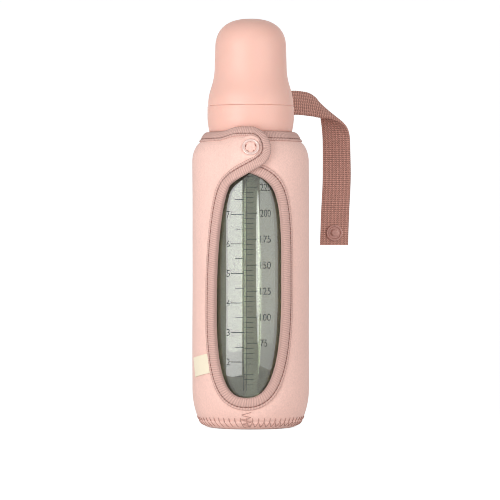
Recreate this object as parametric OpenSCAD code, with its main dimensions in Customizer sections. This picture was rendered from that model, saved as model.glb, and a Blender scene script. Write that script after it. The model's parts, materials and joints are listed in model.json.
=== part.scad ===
// Glass baby bottle in a neoprene carry sleeve: screw collar, teat, dust cap,
// a closing flap with a press stud, and a webbing strap at the back.
// Millimetres. The axis of the bottle is Z, the floor is z = 0, the window faces -Y.

/* [Glass bottle] */
// Outer diameter of the glass body
glass_d = 54.2; // [48:0.1:62]
// Wall of the glass
glass_wall = 2.5; // [1.8:0.1:3.2]
// Height from the floor to where the shoulder starts
shoulder_z = 138; // [120:1:150]
// How far the shoulder draws the glass in, from the body to the neck below the thread
neck_in = 8.7; // [8.1:0.1:10.1]
// Height of the glass neck above the shoulder start
neck_top = 26.8; // [25.5:0.1:30]

/* [Sleeve] */
// Thickness of the neoprene
sleeve_wall = 2.8; // [2:0.1:3.2]
// Room between the glass and the neoprene
sleeve_fit = 0.3; // [0.2:0.05:0.6]
// Radius of the sleeve's shoulder in side view
shoulder_r = 15; // [13:0.5:18]
// Angle at which the shoulder leans in towards the rim
shoulder_lean = 36; // [32:1:40]
// Height of the sleeve's rim above the shoulder start
rim_rise = 15; // [14:0.1:16]
// Radius of the rounded heel
heel_r = 7.5; // [6:0.5:9]
// Radius of the long inward curve above the heel
taper_r = 40; // [34:1:60]
// Height at which that curve starts
taper_z = 20; // [17:1:24]
// Height of the seam between the wall and the base
seam_z = 4.6; // [3.6:0.1:5.4]

/* [Window] */
// Width of the window, measured round the sleeve
window_w = 39.6; // [30:0.2:42]
// Height of the window's lowest point
window_low = 16.6; // [14.5:0.1:24]
// Height of the round lower end of the window
window_bottom_h = 43; // [30:1:50]
// Height at which the upper curve starts
window_upper = 76; // [70:1:90]
// Distance from the shoulder start down to where the upper curve ends
window_top_drop = 13.5; // [12:0.5:16]

/* [Binding tape] */
// Width of the tape on the outside
tape_w = 6.2; // [4:0.1:6.2]
// Thickness of the tape
tape_t = 0.6; // [0.4:0.05:0.8]
// How far the tape stands proud of the neoprene
tape_proud = 0.5; // [0.3:0.05:0.6]

/* [Flap] */
// Distance of the flap's fold line from the front centre, round the sleeve
fold_u = 10.5; // [10:0.1:12]
// Radius of the flap's round tip
flap_tip_r = 10.9; // [10:0.1:11.6]
// Radius of the tip of the tongue under the flap
tongue_tip_r = 6.4; // [6.3:0.1:6.6]
// Height of the press stud above the shoulder start
snap_rise = 5; // [4:0.1:6]
// Air between the flap and the tongue under it
flap_air = 0.3; // [0.2:0.05:0.6]

/* [Press studs] */
// Outer diameter of the press stud's rings
snap_d = 8.6; // [7.6:0.1:9.4]
// Diameter of the press stud's post
post_d = 3.4; // [2.6:0.1:3.8]
// Thickness of the foam that is crushed between the ring and the socket
crushed_foam = 1.1; // [0.8:0.1:1.6]
// Number of prongs on a ring
prongs = 5; // [4:1:8]

/* [Collar] */
// Room for the thread between the neck and the collar
thread_room = 1.2; // [1:0.1:1.4]
// Wall of the collar at its widest
collar_wall = 2.8; // [2.5:0.1:4]
// Wall of the collar at its lower edge
collar_foot_wall = 1.7; // [1.4:0.1:2]
// Height of the collar's outside
collar_h = 13.8; // [12.6:0.1:16]
// Width of the inner flange that holds the teat down
collar_flange_w = 5; // [4:0.1:6.5]

/* [Teat] */
// Thickness of the teat's wall
teat_wall = 1.5; // [1:0.1:2]
// Height of the teat above its flange
teat_h = 38.5; // [34:0.5:40]
// Diameter of the teat's round tip
teat_tip_d = 15.6; // [13:0.2:18]
// Diameter of the teat's narrow neck
teat_neck_d = 11; // [9:0.2:12.6]

/* [Dust cap] */
// How far the cap's lower edge stands back from the collar
cap_step = 0.3; // [0.1:0.1:0.5]
// How far the cap draws in above its lower edge
cap_taper = 3.7; // [2.5:0.1:5]
// Height of the cap
cap_h = 45.4; // [44:0.2:50]
// Height of the cap's drawn-in lower part
cap_flare_h = 21; // [18:0.5:24]
// Height of the cap's round crown
cap_crown_h = 16; // [13:0.5:18]
// Wall of the cap
cap_wall = 1.6; // [1.2:0.1:2]

/* [Strap] */
// Width of the webbing
strap_w = 15; // [12:0.5:18]
// Thickness of the webbing
strap_t = 1.4; // [1:0.1:1.8]
// Length of the webbing that is sewn to the sleeve
anchor_h = 16; // [14:1:20]

/* [Label] */
// Width of the folded label
label_w = 10; // [8:0.5:12]
// Length of the label that shows
label_l = 14; // [10:0.5:15]

/* [Hidden] */

$fn = 96;
pink = [0.93, 0.76, 0.70];
rose = [0.80, 0.65, 0.61];
brown_rose = [0.66, 0.47, 0.42];
clear_green = [0.72, 0.78, 0.74, 0.5];
latex = [0.90, 0.84, 0.72];
cream = [0.98, 0.95, 0.86];

running = 0.3;             // air between pieces that move past each other
sleeve_in = sleeve_wall;   // depths are measured inwards from the sleeve's outside
glass_out = sleeve_wall + sleeve_fit;
glass_in = glass_out + glass_wall;
body_r = glass_d / 2 + glass_out;

// ---- The sleeve's outside, as a profile that offsets by depth ----

shoulder_c = [body_r - shoulder_r, shoulder_z];
cone_z = shoulder_z + shoulder_r * sin(shoulder_lean);
arc_t = shoulder_r * shoulder_lean * PI / 180;
rim_z = shoulder_z + rim_rise;
rim_t = shoulder_z + arc_t + (rim_z - cone_z) / cos(shoulder_lean);
taper_c = [body_r - taper_r, taper_z];
heel_c = [taper_c[0] + sqrt(pow(taper_r - heel_r, 2) - pow(taper_z - heel_r, 2)), heel_r];
heel_lean = asin((taper_z - heel_r) / (taper_r - heel_r));

// Lean of the outside at length t along the profile, from the vertical; t is the height up to the shoulder.
function lean(t) =
    t < taper_z ? -asin((taper_z - t) / taper_r)
    : t < shoulder_z ? 0
    : min((t - shoulder_z) / shoulder_r * 180 / PI, shoulder_lean);

// Point (radius, height) on the outside at t.
function outside(t) =
    t < taper_z ? [taper_c[0] + taper_r * cos(lean(t)), t]
    : t < shoulder_z ? [body_r, t]
    : let (past = max(0, t - shoulder_z - arc_t))
      shoulder_c + shoulder_r * [cos(lean(t)), sin(lean(t))]
      + past * [-sin(shoulder_lean), cos(shoulder_lean)];

// The same point at a depth under the outside.
function profile(t, depth) = outside(t) - depth * [cos(lean(t)), sin(lean(t))];

// A place on the sleeve in 3D: u is the way round from the front, to the right, at the body's radius.
function place(u, t, depth) =
    let (p = profile(t, depth), a = u / body_r * 180 / PI)
    [p[0] * sin(a), -p[0] * cos(a), p[1]];

function span(a, b, n) = [for (i = [0:n]) a + (b - a) * i / n];
function arc(c, r, a, b, n) = [for (v = span(a, b, n)) c + r * [cos(v), sin(v)]];
function reversed(list) = [for (i = [len(list) - 1:-1:0]) list[i]];
function unit(v) = v / norm(v);
function smooth(x) = let (y = min(1, max(0, x))) y * y * (3 - 2 * y);
function mix(a, b, k) = a + (b - a) * k;

// ---- The window's edge, in (u, t) ----

half_w = window_w / 2;
snap_t = shoulder_z + shoulder_r * asin(snap_rise / shoulder_r) * PI / 180;
corner = [fold_u + 0.3, shoulder_z - window_top_drop];   // where the upper curve runs into the straight of the flap
function tip_tangent(r) =                         // direction from that corner to the tip it runs to
    let (d = [0, snap_t] - corner) atan2(d[1], d[0]) + asin(r / norm(d));
function bezier(p, n) = [for (k = span(0, 1, n))
    pow(1 - k, 3) * p[0] + 3 * k * pow(1 - k, 2) * p[1] + 3 * k * k * (1 - k) * p[2] + pow(k, 3) * p[3]];

// Right edge from the window's lowest point up and round the tip, which crosses to the left.
function window_edge(tip_r) =
    let (low = window_low + window_bottom_h, dir = tip_tangent(tip_r),
         pull = 7 * [cos(dir), sin(dir)], foot = dir - 90)
    concat(
        [for (v = span(-88, 0, 11)) [half_w * cos(v), low + window_bottom_h * sin(v)]],
        [[half_w, mix(low, window_upper, 0.5)]],
        bezier([[half_w, window_upper], [half_w, window_upper + 24], corner - pull, corner], 8),
        [for (k = [0.25, 0.5, 0.75]) mix(corner, [0, snap_t] - tip_r * [cos(foot), sin(foot)], k)],
        [for (v = span(180 + foot, 180, 6)) [tip_r * cos(v), snap_t + tip_r * sin(v)]],
        [for (v = span(168, 96, 6)) [tip_r * cos(v), snap_t + (rim_t - snap_t) * sin(v)]]);

function along(path, i) = unit(path[min(i + 1, len(path) - 1)] - path[max(i - 1, 0)]);
function side(path, i) = let (d = along(path, i)) [d[1], -d[0]];
function moved_in(path, w) = [for (i = [0:len(path) - 1]) path[i] + w * side(path, i)];
function mirrored(path) = [for (p = path) [-p[0], p[1]]];
function dense(path, step) = concat([for (i = [0:len(path) - 2]) let (n = ceil(norm(path[i + 1] - path[i]) / step))
    each [for (k = [0:n - 1]) mix(path[i], path[i + 1], k / n)]], [path[len(path) - 1]]);

tongue_edge = window_edge(tongue_tip_r);
flap_edge = mirrored(window_edge(flap_tip_r));
left_edge = [for (p = reversed(flap_edge)) if (p[1] < corner[1] + 0.1) p];   // down to the window's lowest point

// Where the flap's edge crosses the fold line, which it does at an angle, and the cut of the tape there.
fold_dir = unit(flap_edge[len(flap_edge) - 14] - [-corner[0], corner[1]]);
fold_foot = [-fold_u, corner[1] + 0.3 * fold_dir[1] / fold_dir[0]];
fold_mitre = [0, 1 / fold_dir[0]];
fold_gap = running / 2;

// ---- Bodies swept through rings of points ----

module rings(sections) {
    n = len(sections);
    m = len(sections[0]);
    polyhedron(
        points = [for (s = sections) each s],
        faces = concat(
            [for (i = [0:n - 2]) for (j = [0:m - 1])
                let (a = i * m, b = a + m, k = (j + 1) % m) each
                [[a + j, b + k, a + k], [a + j, b + j, b + k]]],
            [[for (j = [0:m - 1]) j], [for (j = [m - 1:-1:0]) (n - 1) * m + j]]));
}

// ---- Revolved bodies ----

function body_profile(depth, top) = concat(
    arc(heel_c, heel_r - depth, -90, -heel_lean, 8),
    [for (v = span(-heel_lean, 0, 4)) if (v > -heel_lean) taper_c + (taper_r - depth) * [cos(v), sin(v)]],
    [for (v = span(0, shoulder_lean, 6)) shoulder_c + (shoulder_r - depth) * [cos(v), sin(v)]],
    [profile(top, depth)]);

neck_r = glass_d / 2 - neck_in;
mouth_r = neck_r - glass_wall + 0.1;
neck_z = shoulder_z + neck_top;
neck_bend = 2;
glass_shoulder_r = shoulder_r - glass_out;
neck_foot = acos((neck_r + neck_bend - shoulder_c[0]) / (glass_shoulder_r + neck_bend));
bend_z = shoulder_z + (glass_shoulder_r + neck_bend) * sin(neck_foot);
in_shoulder_r = shoulder_r - glass_in;
in_bend = neck_bend + glass_wall;
in_foot = acos((mouth_r + in_bend - shoulder_c[0]) / (in_shoulder_r + in_bend));
in_bend_z = shoulder_z + (in_shoulder_r + in_bend) * sin(in_foot);
punt_h = 1.2;             // rise of the glass base at its middle
bead_z = bend_z + 1.4;    // bead under the thread
bead_r = 0.8;

module glass_bottle() {
    outer = concat(
        [[0, glass_out + punt_h]], [[heel_c[0] * 0.62, glass_out + punt_h]], [[heel_c[0] * 0.8, glass_out]],
        arc(heel_c, heel_r - glass_out, -90, -heel_lean, 8),
        [for (v = span(-heel_lean, 0, 4)) if (v > -heel_lean) taper_c + (taper_r - glass_out) * [cos(v), sin(v)]],
        arc(shoulder_c, glass_shoulder_r, 0, neck_foot, 12),
        arc([neck_r + neck_bend, bend_z], neck_bend, 180 + neck_foot, 180, 5),
        arc([neck_r, bead_z + bead_r], bead_r, -90, 90, 8),
        [[neck_r, neck_z - 0.8], [neck_r - 0.5, neck_z]]);
    inner = concat(
        [[mouth_r + 0.5, neck_z], [mouth_r, neck_z - 0.8]],
        arc([mouth_r + in_bend, in_bend_z], in_bend, 180, 180 + in_foot, 6),
        reversed(arc(shoulder_c, in_shoulder_r, 0, in_foot, 10)),
        [for (v = span(0, -heel_lean, 4)) taper_c + (taper_r - glass_in) * [cos(v), sin(v)]],
        arc([heel_c[0] - 2, glass_in + 4 + punt_h], 4, -20, -90, 6),
        [[0, glass_in + punt_h]]);
    color(clear_green) rotate_extrude() polygon(concat(outer, inner));
}

collar_bore_r = neck_r + thread_room;
collar_hole_r = collar_bore_r - collar_flange_w;
collar_foot_r = collar_bore_r + collar_foot_wall;
collar_r = collar_bore_r + collar_wall;
cap_r = collar_r - cap_step;
cap_top_r = cap_r - cap_taper;
flange_z = neck_z;
flange_t = 2;
flange_r = collar_bore_r - 0.6;
collar_flange_z = flange_z + flange_t;
collar_flange_t = 1.8;
teat_seat_r = collar_hole_r - 0.4;
teat_lip_r = teat_seat_r + 1.2;
teat_lip_z = collar_flange_z + collar_flange_t + running;
teat_base_r = teat_seat_r - 0.2;
milk_hole_r = 0.3;
teat_top_z = collar_flange_z + teat_h;
tip_r = teat_tip_d / 2;
tip_z = teat_top_z - tip_r;

module teat() {
    neck = teat_neck_d / 2;
    waist_z = tip_z - tip_r - 1.5;
    dome_z = teat_lip_z + 2.2;
    function shape(w) = concat(
        bezier([[teat_base_r - w, dome_z], [teat_base_r - w, dome_z + 8.5], [neck - w, waist_z - 6.5], [neck - w, waist_z]], 12),
        [for (v = span(-44, 88, 14)) if (v > -44 || w == 0) [0, tip_z] + (tip_r - w) * [cos(v), sin(v)]]);
    outer = concat(
        [[teat_seat_r - teat_wall - 0.8, flange_z], [flange_r, flange_z], [flange_r, collar_flange_z],
         [teat_seat_r, collar_flange_z], [teat_seat_r, teat_lip_z], [teat_lip_r, teat_lip_z],
         [teat_lip_r - 0.2, teat_lip_z + 0.9]],
        shape(0), [[milk_hole_r, teat_top_z]]);
    inner = concat([[milk_hole_r, teat_top_z - teat_wall]], reversed(shape(teat_wall)),
        [[teat_seat_r - teat_wall - 0.8, dome_z - 2]]);
    color(latex) difference() {
        rotate_extrude() polygon(concat(outer, inner));
        translate([flange_r - 2.4, 0, flange_z - 1]) cylinder(r = 0.5, h = flange_t + 2);
    }
}

cap_z = flange_z + flange_t - 0.4;       // the seam between collar and cap
collar_z = cap_z - collar_h;
spigot_r = cap_r - cap_wall - 0.35;
spigot_h = 4;
snap_bead = 0.22;

module screw_collar() {
    curve_h = collar_h * 0.62;
    outer = concat(
        [[collar_bore_r, collar_z], [collar_foot_r - 0.6, collar_z], [collar_foot_r - 0.1, collar_z + 0.3]],
        [for (v = span(0.12, 1, 8)) [mix(collar_foot_r, collar_r, sin(90 * v)), collar_z + curve_h * v]],
        [[collar_r, cap_z - 0.4], [collar_r - 0.35, cap_z], [spigot_r, cap_z]]);
    spigot = concat(
        arc([spigot_r, cap_z + spigot_h * 0.6], snap_bead, -90, 90, 6),
        [[spigot_r, cap_z + spigot_h - 0.4], [spigot_r - 0.4, cap_z + spigot_h], [spigot_r - 1.6, cap_z + spigot_h],
         [spigot_r - 1.9, collar_flange_z + collar_flange_t]]);
    color(pink) rotate_extrude() polygon(concat(outer, spigot,
        [[collar_hole_r, collar_flange_z + collar_flange_t], [collar_hole_r, collar_flange_z],
         [collar_bore_r, collar_flange_z]]));
}

module dust_cap() {
    top = cap_z + cap_h;
    flare_z = cap_z + cap_flare_h;
    crown_z = top - cap_crown_h;
    function crown(w) = [for (v = span(0, 86, 14))
        [(cap_top_r - w) * pow(cos(v), 0.8), crown_z + (cap_crown_h - w) * pow(sin(v), 0.8)]];
    function flare(w) = bezier([[cap_r - w, cap_z + 0.4], [cap_r - w, cap_z + cap_flare_h * 0.43],
        [cap_top_r + 0.25 - w, flare_z - cap_flare_h * 0.48], [cap_top_r + 0.25 - w, flare_z]], 12);
    color(pink) rotate_extrude() polygon(concat(
        [[cap_r - cap_wall, cap_z], [cap_r - 0.35, cap_z]], flare(0), crown(0), [[0, top], [0, top - cap_wall]],
        reversed(crown(cap_wall)), reversed(flare(cap_wall))));
}

// ---- Sleeve ----

module sleeve_shell(top) {
    rotate_extrude() difference() {
        polygon(concat([[0, 0]], body_profile(0, top), [[0, rim_z + 4]]));
        polygon(concat([[0, sleeve_in]], body_profile(sleeve_in, top),
            [profile(top + 6, sleeve_in), [0, rim_z + 6]]));
        polygon([profile(top, -1), profile(top, sleeve_in + 1), [0, profile(top, sleeve_in + 1)[1]],
                 [0, rim_z + 6], [body_r, rim_z + 6]]);
    }
}

// A point of the edge as seen from the front, with the cloth's own thickness kept clear of the tape's fold.
function seen(p, depth) = let (q = place(p[0], p[1], depth)) [q[0], q[2]];

module front_cut() {
    edge = moved_in(tongue_edge, tape_t);
    under = [for (p = edge) if (p[1] <= snap_t) seen(p, 0)];
    over = [for (p = edge) if (p[1] > snap_t) seen(p, sleeve_in)];
    left = [for (p = moved_in(left_edge, tape_t)) if (p[0] < -fold_u || p[1] < window_upper) seen(p, 0)];
    fold_x = seen([-fold_u, shoulder_z], 0)[0];
    top = rim_z + 8;
    last = over[len(over) - 1];
    rotate([90, 0, 0]) linear_extrude(height = body_r + 10)
        polygon(concat(under, over, [[last[0] + 1, top], [fold_x, top], [fold_x, fold_foot[1] + tape_t / fold_dir[0]]], left));
}

module along_snap(depth) {
    p = profile(snap_t, depth);
    translate([0, -p[0], p[1]]) rotate([90 - lean(snap_t), 0, 0]) children();
}

// The room that the press stud takes in the tongue, from outside and from inside, and its prong holes.
module stud_seat() {
    $fn = 80;
    along_snap(crush) cylinder(r = seat_r, h = flap_lift);
    along_snap(sleeve_in) {
        translate([0, 0, ring_t + 0.05 - flap_lift]) cylinder(r = seat_r, h = flap_lift);
        for (i = [0:prongs - 1]) rotate(i * 360 / prongs + 90)
            translate([prong_circle, 0, -1]) cylinder(r = prong_r + 0.06, h = sleeve_in + 2);
    }
}

crush = 0.9;              // how deep the stud is pressed into the outside of the tongue
ring_t = 0.75;            // thickness of a prong ring
stud_base = 0.8;
seat_r = snap_d / 2 + 0.4;

module sleeve_panel() {
    color(pink) difference() {
        sleeve_shell(rim_t - tape_t);
        translate([0, 0, -1]) cylinder(r = body_r + 5, h = seam_z + 1);
        front_cut();
        stud_seat();
        anchor_rivet_holes();
    }
}

module sleeve_base() {
    color(pink) intersection() {
        sleeve_shell(rim_t - tape_t);
        translate([0, 0, -1]) cylinder(r = body_r + 5, h = seam_z + 1);
    }
}

// ---- Binding tape ----

leg = tape_w - 0.7;
tape_section = [[tape_w, -tape_proud + 0.15], [tape_w - 0.3, -tape_proud], [0.7, -tape_proud], [0.15, -tape_proud + 0.35], [0, 0.5],
    [0, sleeve_in - 0.7], [0.25, sleeve_in - 0.15], [0.8, sleeve_in], [leg, sleeve_in], [leg, sleeve_in - tape_t], [tape_t, sleeve_in - tape_t],
    [tape_t, tape_t - tape_proud], [tape_w, tape_t - tape_proud]];

// Stations of the tape: a point of the edge, and the way across the tape there.
function stations(path) = [for (i = [0:len(path) - 1]) [path[i], side(path, i)]];

// Round the tip of the tongue the tape is narrower, and the stud covers its inner edge there.
module tape(along_edge, on_flap) {
    tip = [0, snap_t];
    rings([for (s = along_edge) [for (q = reversed(tape_section))
        let (widest = !on_flap && norm(s[0] - tip) < tongue_tip_r + 0.1 ? tongue_tip_r - seat_r / 2 : tape_w,
             p = s[0] + min(q[0], widest) * s[1])
        on_flap ? flap_place(p[0], p[1], q[1]) : place(p[0], p[1], q[1])]]);
}

module edge_binding() {
    around = 2 * PI * body_r - fold_u - fold_gap;
    color(rose) difference() {
        tape(concat(
            [[fold_foot - [fold_gap, 0], fold_mitre]],
            stations(concat(left_edge, tongue_edge, [for (u = span(1.5, around, 46)) [u, rim_t]]))), false);
        stud_seat();
    }
}

module flap_binding() {
    risen = -fold_u + rise_w;
    edge = [for (p = reversed(flap_edge)) if (p[0] > risen + tape_w * fold_dir[1] && p[1] > window_upper) p];
    color(rose) tape(concat(
        stations(concat([for (u = span(-fold_u + fold_gap, -1.5, 6)) [u, rim_t]], edge)),
        [for (u = span(risen, -fold_u + fold_gap, 6))
            [fold_foot + [u + fold_u, (u + fold_u) * fold_dir[1] / fold_dir[0]], fold_mitre]]), true);
}

// ---- Flap ----

flap_lift = sleeve_in + tape_proud + flap_air;
// The lifted cloth lies on a larger radius both ways, so there it takes less of the sleeve's u and t.
shrink_t = flap_lift / (shoulder_r + flap_lift);
shrink_u = 1 - body_r / (profile(snap_t, 0)[0] + flap_lift);
rise_w = fold_u - (tongue_tip_r + 0.4) / (1 - shrink_u);
function flap_place(u, t, depth) =
    let (k = smooth((u + fold_u) / rise_w))
    place(u * (1 - k * shrink_u), t - k * shrink_t * (max(t, shoulder_z) - snap_t), depth - k * flap_lift);

// The foam is crushed flat between the prong ring and the socket.
crush_ring = ring_t / 3;                     // depth of the foam's face under the ring
crush_back = crush_ring + crushed_foam;     // depth of its back over the socket
snap_n = [0, -cos(lean(snap_t)), sin(lean(snap_t))];
function level(u, t, depth) = depth + (flap_place(u, t, depth) - flap_place(0, snap_t, depth)) * snap_n;
function pressed(u, t) = 1 - smooth((norm([u, t - snap_t]) - seat_r - 0.8) / 1.4);
function flap_face(u, t) = let (k = pressed(u, t)) k > 0 ? mix(0, level(u, t, crush_ring), k) : 0;
function flap_back(u, t) = let (k = pressed(u, t)) k > 0 ? mix(sleeve_in, level(u, t, crush_back), k) : sleeve_in;

module flap() {
    root = -fold_u + fold_gap;
    edge = moved_in(reversed(flap_edge), tape_t);
    outline = dense(reversed([for (p = edge) if (p[0] > root + 0.5 && p[1] > window_upper) p]), 1.5);
    foot = fold_foot[1] + tape_t / fold_dir[0];
    rows = concat([[foot, root, root + 0.3]], [for (p = outline) [p[1], root, p[0]]]);
    // The columns lie closer together near the fold, where the cloth rises.
    columns = [for (k = span(0, 1, 18)) pow(k, 1.35)];
    color(pink) rings([for (row = rows) concat(
        [for (k = columns) let (u = mix(row[1], row[2], k)) flap_place(u, row[0], flap_face(u, row[0]))],
        [for (k = reversed(columns)) let (u = mix(row[1], row[2], k)) flap_place(u, row[0], flap_back(u, row[0]))])]);
}

// ---- Press studs ----

prong_r = 0.35;
prong_circle = snap_d / 2 - 0.85;

// A ring with a rounded face, flat on z = 0, with prongs that point down.
module prong_ring(reach) {
    rotate_extrude() translate([snap_d / 2 - 0.7, 0]) difference() {
        translate([0, ring_t / 2 - 0.1]) circle(r = 0.7);
        translate([-2, -2]) square([4, 2]);
        translate([-2, ring_t]) square([4, 2]);
    }
    for (i = [0:prongs - 1]) rotate(i * 360 / prongs + 90)
        translate([prong_circle, 0, -reach]) cylinder(r = prong_r, h = reach + 0.2);
}

module stud(base, post_h) {
    r = post_d / 2;
    rotate_extrude() polygon(concat(
        [[0, 0], [snap_d / 2 - 0.3, 0], [snap_d / 2, 0.3], [snap_d / 2, base - 0.15], [snap_d / 2 - 0.3, base],
         [snap_d / 2 - 0.9, base], [snap_d / 2 - 1.3, base - 0.25], [r + 0.5, base - 0.25], [r - 0.15, base]],
        arc([r - 0.5, base + post_h - 0.5], 0.5, -20, 90, 5), [[0, base + post_h]]));
}

module socket(h) {
    r = post_d / 2 + 0.45;
    rotate_extrude() polygon([[r, 0], [r + 1, 0], [r + 1.2, 0.3], [snap_d / 2 - 0.3, 0.3], [snap_d / 2, 0.6],
        [snap_d / 2, h - 0.2], [snap_d / 2 - 0.2, h], [0, h], [0, h - 0.45], [r, h - 0.45]]);
}

module flap_snap_ring() {
    color(rose) along_snap(crush_ring - flap_lift - 0.02) prong_ring(0.9);
}

module flap_snap_socket() {
    color(rose) along_snap(-0.12) socket(-0.12 - crush_back + flap_lift - 0.04);
}

module tongue_snap_stud() {
    color(rose) along_snap(crush - 0.02) stud(stud_base, 1.6);
}

module tongue_snap_ring() {
    color(rose) along_snap(sleeve_in - ring_t) mirror([0, 0, 1]) prong_ring(sleeve_in - ring_t - crush - 0.02);
}

// ---- Strap ----

anchor_top = shoulder_z + 2;
anchor_mid = anchor_top - anchor_h / 2;
anchor_gap = 0.05;
strap_y = body_r + anchor_gap + strap_t / 2;

// Stations of the free webbing: centre, and the direction across it.
strap_stations = [
    [[0, strap_y, anchor_top + running], [1, 0, 0]],
    [[0.3, strap_y + 0.6, 147], [1, 0, 0]],
    [[1.5, 34, 154], [0.97, -0.15, -0.15]],
    [[4.5, 37.5, 160.5], [0.85, -0.2, -0.45]],
    [[9.5, 41, 165.5], [0.6, -0.25, -0.75]],
    [[15.5, 43.3, 168.5], [0.3, -0.38, -0.87]],
    [[22, 44.5, 169.7], [0, -0.46, -0.89]],
    [[30.8, 46, 169.4], [0, -0.79, -0.62]],
    [[37, 46.8, 166.4], [0.07, -0.89, -0.45]],
    [[40.6, 47.3, 163.2], [0.3, -0.89, -0.35]],
    [[42.6, 47.8, 159], [0.6, -0.73, -0.34]],
    [[44.4, 48.3, 153.6], [0.8, -0.5, -0.3]],
    [[45.3, 48.8, 146.8], [0.9, -0.36, -0.2]],
    [[45.7, 49.2, 139.5], [0.97, -0.16, -0.12]],
    [[45.7, 49.6, 128], [1, 0, 0]],
    [[45.3, 49.9, 112], [1, 0, 0]],
    [[44.7, 50, 94.6], [1, 0, 0]]];

function spline(p0, p1, p2, p3, k) =
    0.5 * (2 * p1 + (p2 - p0) * k + (2 * p0 - 5 * p1 + 4 * p2 - p3) * k * k + (3 * p1 - p0 - 3 * p2 + p3) * pow(k, 3));
function station(i) = strap_stations[min(max(i, 0), len(strap_stations) - 1)];
function strap_frame(x) =
    let (i = min(floor(x), len(strap_stations) - 2), k = x - i,
         c = spline(station(i - 1)[0], station(i)[0], station(i + 1)[0], station(i + 2)[0], k),
         ahead = spline(station(i - 1)[0], station(i)[0], station(i + 1)[0], station(i + 2)[0], k + 0.01),
         w = mix(station(i)[1], station(i + 1)[1], k), d = unit(ahead - c), across = unit(w - (w * d) * d))
    [c, across, cross(d, across)];

strap_end = len(strap_stations) - 1;
stud_x = strap_end - 0.44;

module strap() {
    a = strap_w / 2;
    b = strap_t / 2;
    section = [[-a, -b + 0.35], [-a + 0.35, -b], [a - 0.35, -b], [a, -b + 0.35], [a, b - 0.35], [a - 0.35, b], [-a + 0.35, b], [-a, b - 0.35]];
    color(brown_rose) difference() {
        rings([for (x = span(0, strap_end, 3 * strap_end)) let (f = strap_frame(x))
            [for (q = section) f[0] + q[0] * f[1] + q[1] * f[2]]]);
        on_strap_tip() translate([0, 0, -5]) cylinder(r = rivet_r + 0.06, h = 10);
    }
}

// The tip's own frame: z points to the viewer at the front, where the stud faces.
module on_strap_tip() {
    f = strap_frame(stud_x);
    translate(f[0]) rotate([90, 0, 0]) children();
}

rivet_r = 1;

module strap_snap_stud() {
    color(brown_rose) on_strap_tip() translate([0, 0, strap_t / 2 + 0.05]) {
        stud(1, 1.5);
        translate([0, 0, -strap_t / 2 - 0.05]) cylinder(r = rivet_r, h = strap_t / 2 + 0.2);
    }
}

module strap_snap_cap() {
    color(brown_rose) on_strap_tip() translate([0, 0, -strap_t / 2 - 0.05]) mirror([0, 0, 1]) {
        rotate_extrude() polygon(concat([[0, 0], [snap_d / 2, 0]],
            arc([snap_d / 2 - 0.4, 0.3], 0.4, 0, 90, 4), [[0, 1]]));
    }
}

// The sewn end of the webbing, curved to the back of the sleeve.
module strap_anchor() {
    half_a = strap_w / 2 / body_r * 180 / PI;
    color(brown_rose) difference() {
        rotate([0, 0, 90 - half_a]) rotate_extrude(angle = 2 * half_a)
            translate([body_r + anchor_gap, anchor_top - anchor_h]) square([strap_t, anchor_h]);
        translate([0, body_r - 2, anchor_mid]) rotate([-90, 0, 0]) cylinder(r = rivet_r + 0.06, h = 10);
        translate([0, body_r + anchor_gap + strap_t - anchor_flat, anchor_mid]) rotate([-90, 0, 0]) cylinder(r = seat_r, h = 5);
    }
}

anchor_flat = 0.4;       // depth of the flat pressed into the curved webbing
anchor_face = body_r + anchor_gap + strap_t - anchor_flat;
inner_flat = body_r - sleeve_in + 0.95;   // y of the flat pressed into the inside of the neoprene

module anchor_rivet_holes() {
    translate([0, 0, anchor_mid]) rotate([-90, 0, 0]) {
        cylinder(r = rivet_r + 0.06, h = body_r + 5);
        cylinder(r = seat_r, h = inner_flat);
    }
}

module anchor_snap_socket() {
    color(brown_rose) translate([0, anchor_face + 0.02, anchor_mid]) rotate([-90, 0, 0]) {
        translate([0, 0, 2.1]) mirror([0, 0, 1]) socket(2.1);
        translate([0, 0, -(anchor_face - inner_flat) + 0.02]) cylinder(r = rivet_r, h = anchor_face - inner_flat + 0.2);
    }
}

module anchor_snap_ring() {
    color(brown_rose) translate([0, inner_flat - 0.02, anchor_mid]) rotate([90, 0, 0])
        rotate_extrude() polygon([[0, 0], [snap_d / 2, 0], [snap_d / 2, 0.4], [snap_d / 2 - 0.25, 0.7], [0, 0.7]]);
}

// ---- Label ----

label_mid = 32.5;         // height of the label's middle
label_turn = 11;          // how far it is turned to follow the window's edge
label_t = 0.5;

module side_label() {
    start = [-half_w - tape_w - 0.1, label_mid + 1.5];
    out = [-cos(label_turn), -sin(label_turn)];
    up = [-out[1], out[0]];
    color(cream) rings([for (k = span(0, 1, 8))
        [for (q = [[-1, -0.05], [1, -0.05], [1, -0.05 - label_t], [-1, -0.05 - label_t]])
            let (p = start + k * label_l * out + q[0] * label_w / 2 * up) place(p[0], p[1], q[1])]]);
}

glass_bottle();
teat();
screw_collar();
dust_cap();
sleeve_panel();
sleeve_base();
edge_binding();
flap();
flap_binding();
flap_snap_ring();
flap_snap_socket();
tongue_snap_stud();
tongue_snap_ring();
strap_anchor();
strap();
strap_snap_stud();
strap_snap_cap();
anchor_snap_socket();
anchor_snap_ring();
side_label();
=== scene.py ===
import json
import math

import bmesh
import bpy
import numpy as np
from mathutils import Matrix, Vector
from mathutils.geometry import delaunay_2d_cdt

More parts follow.
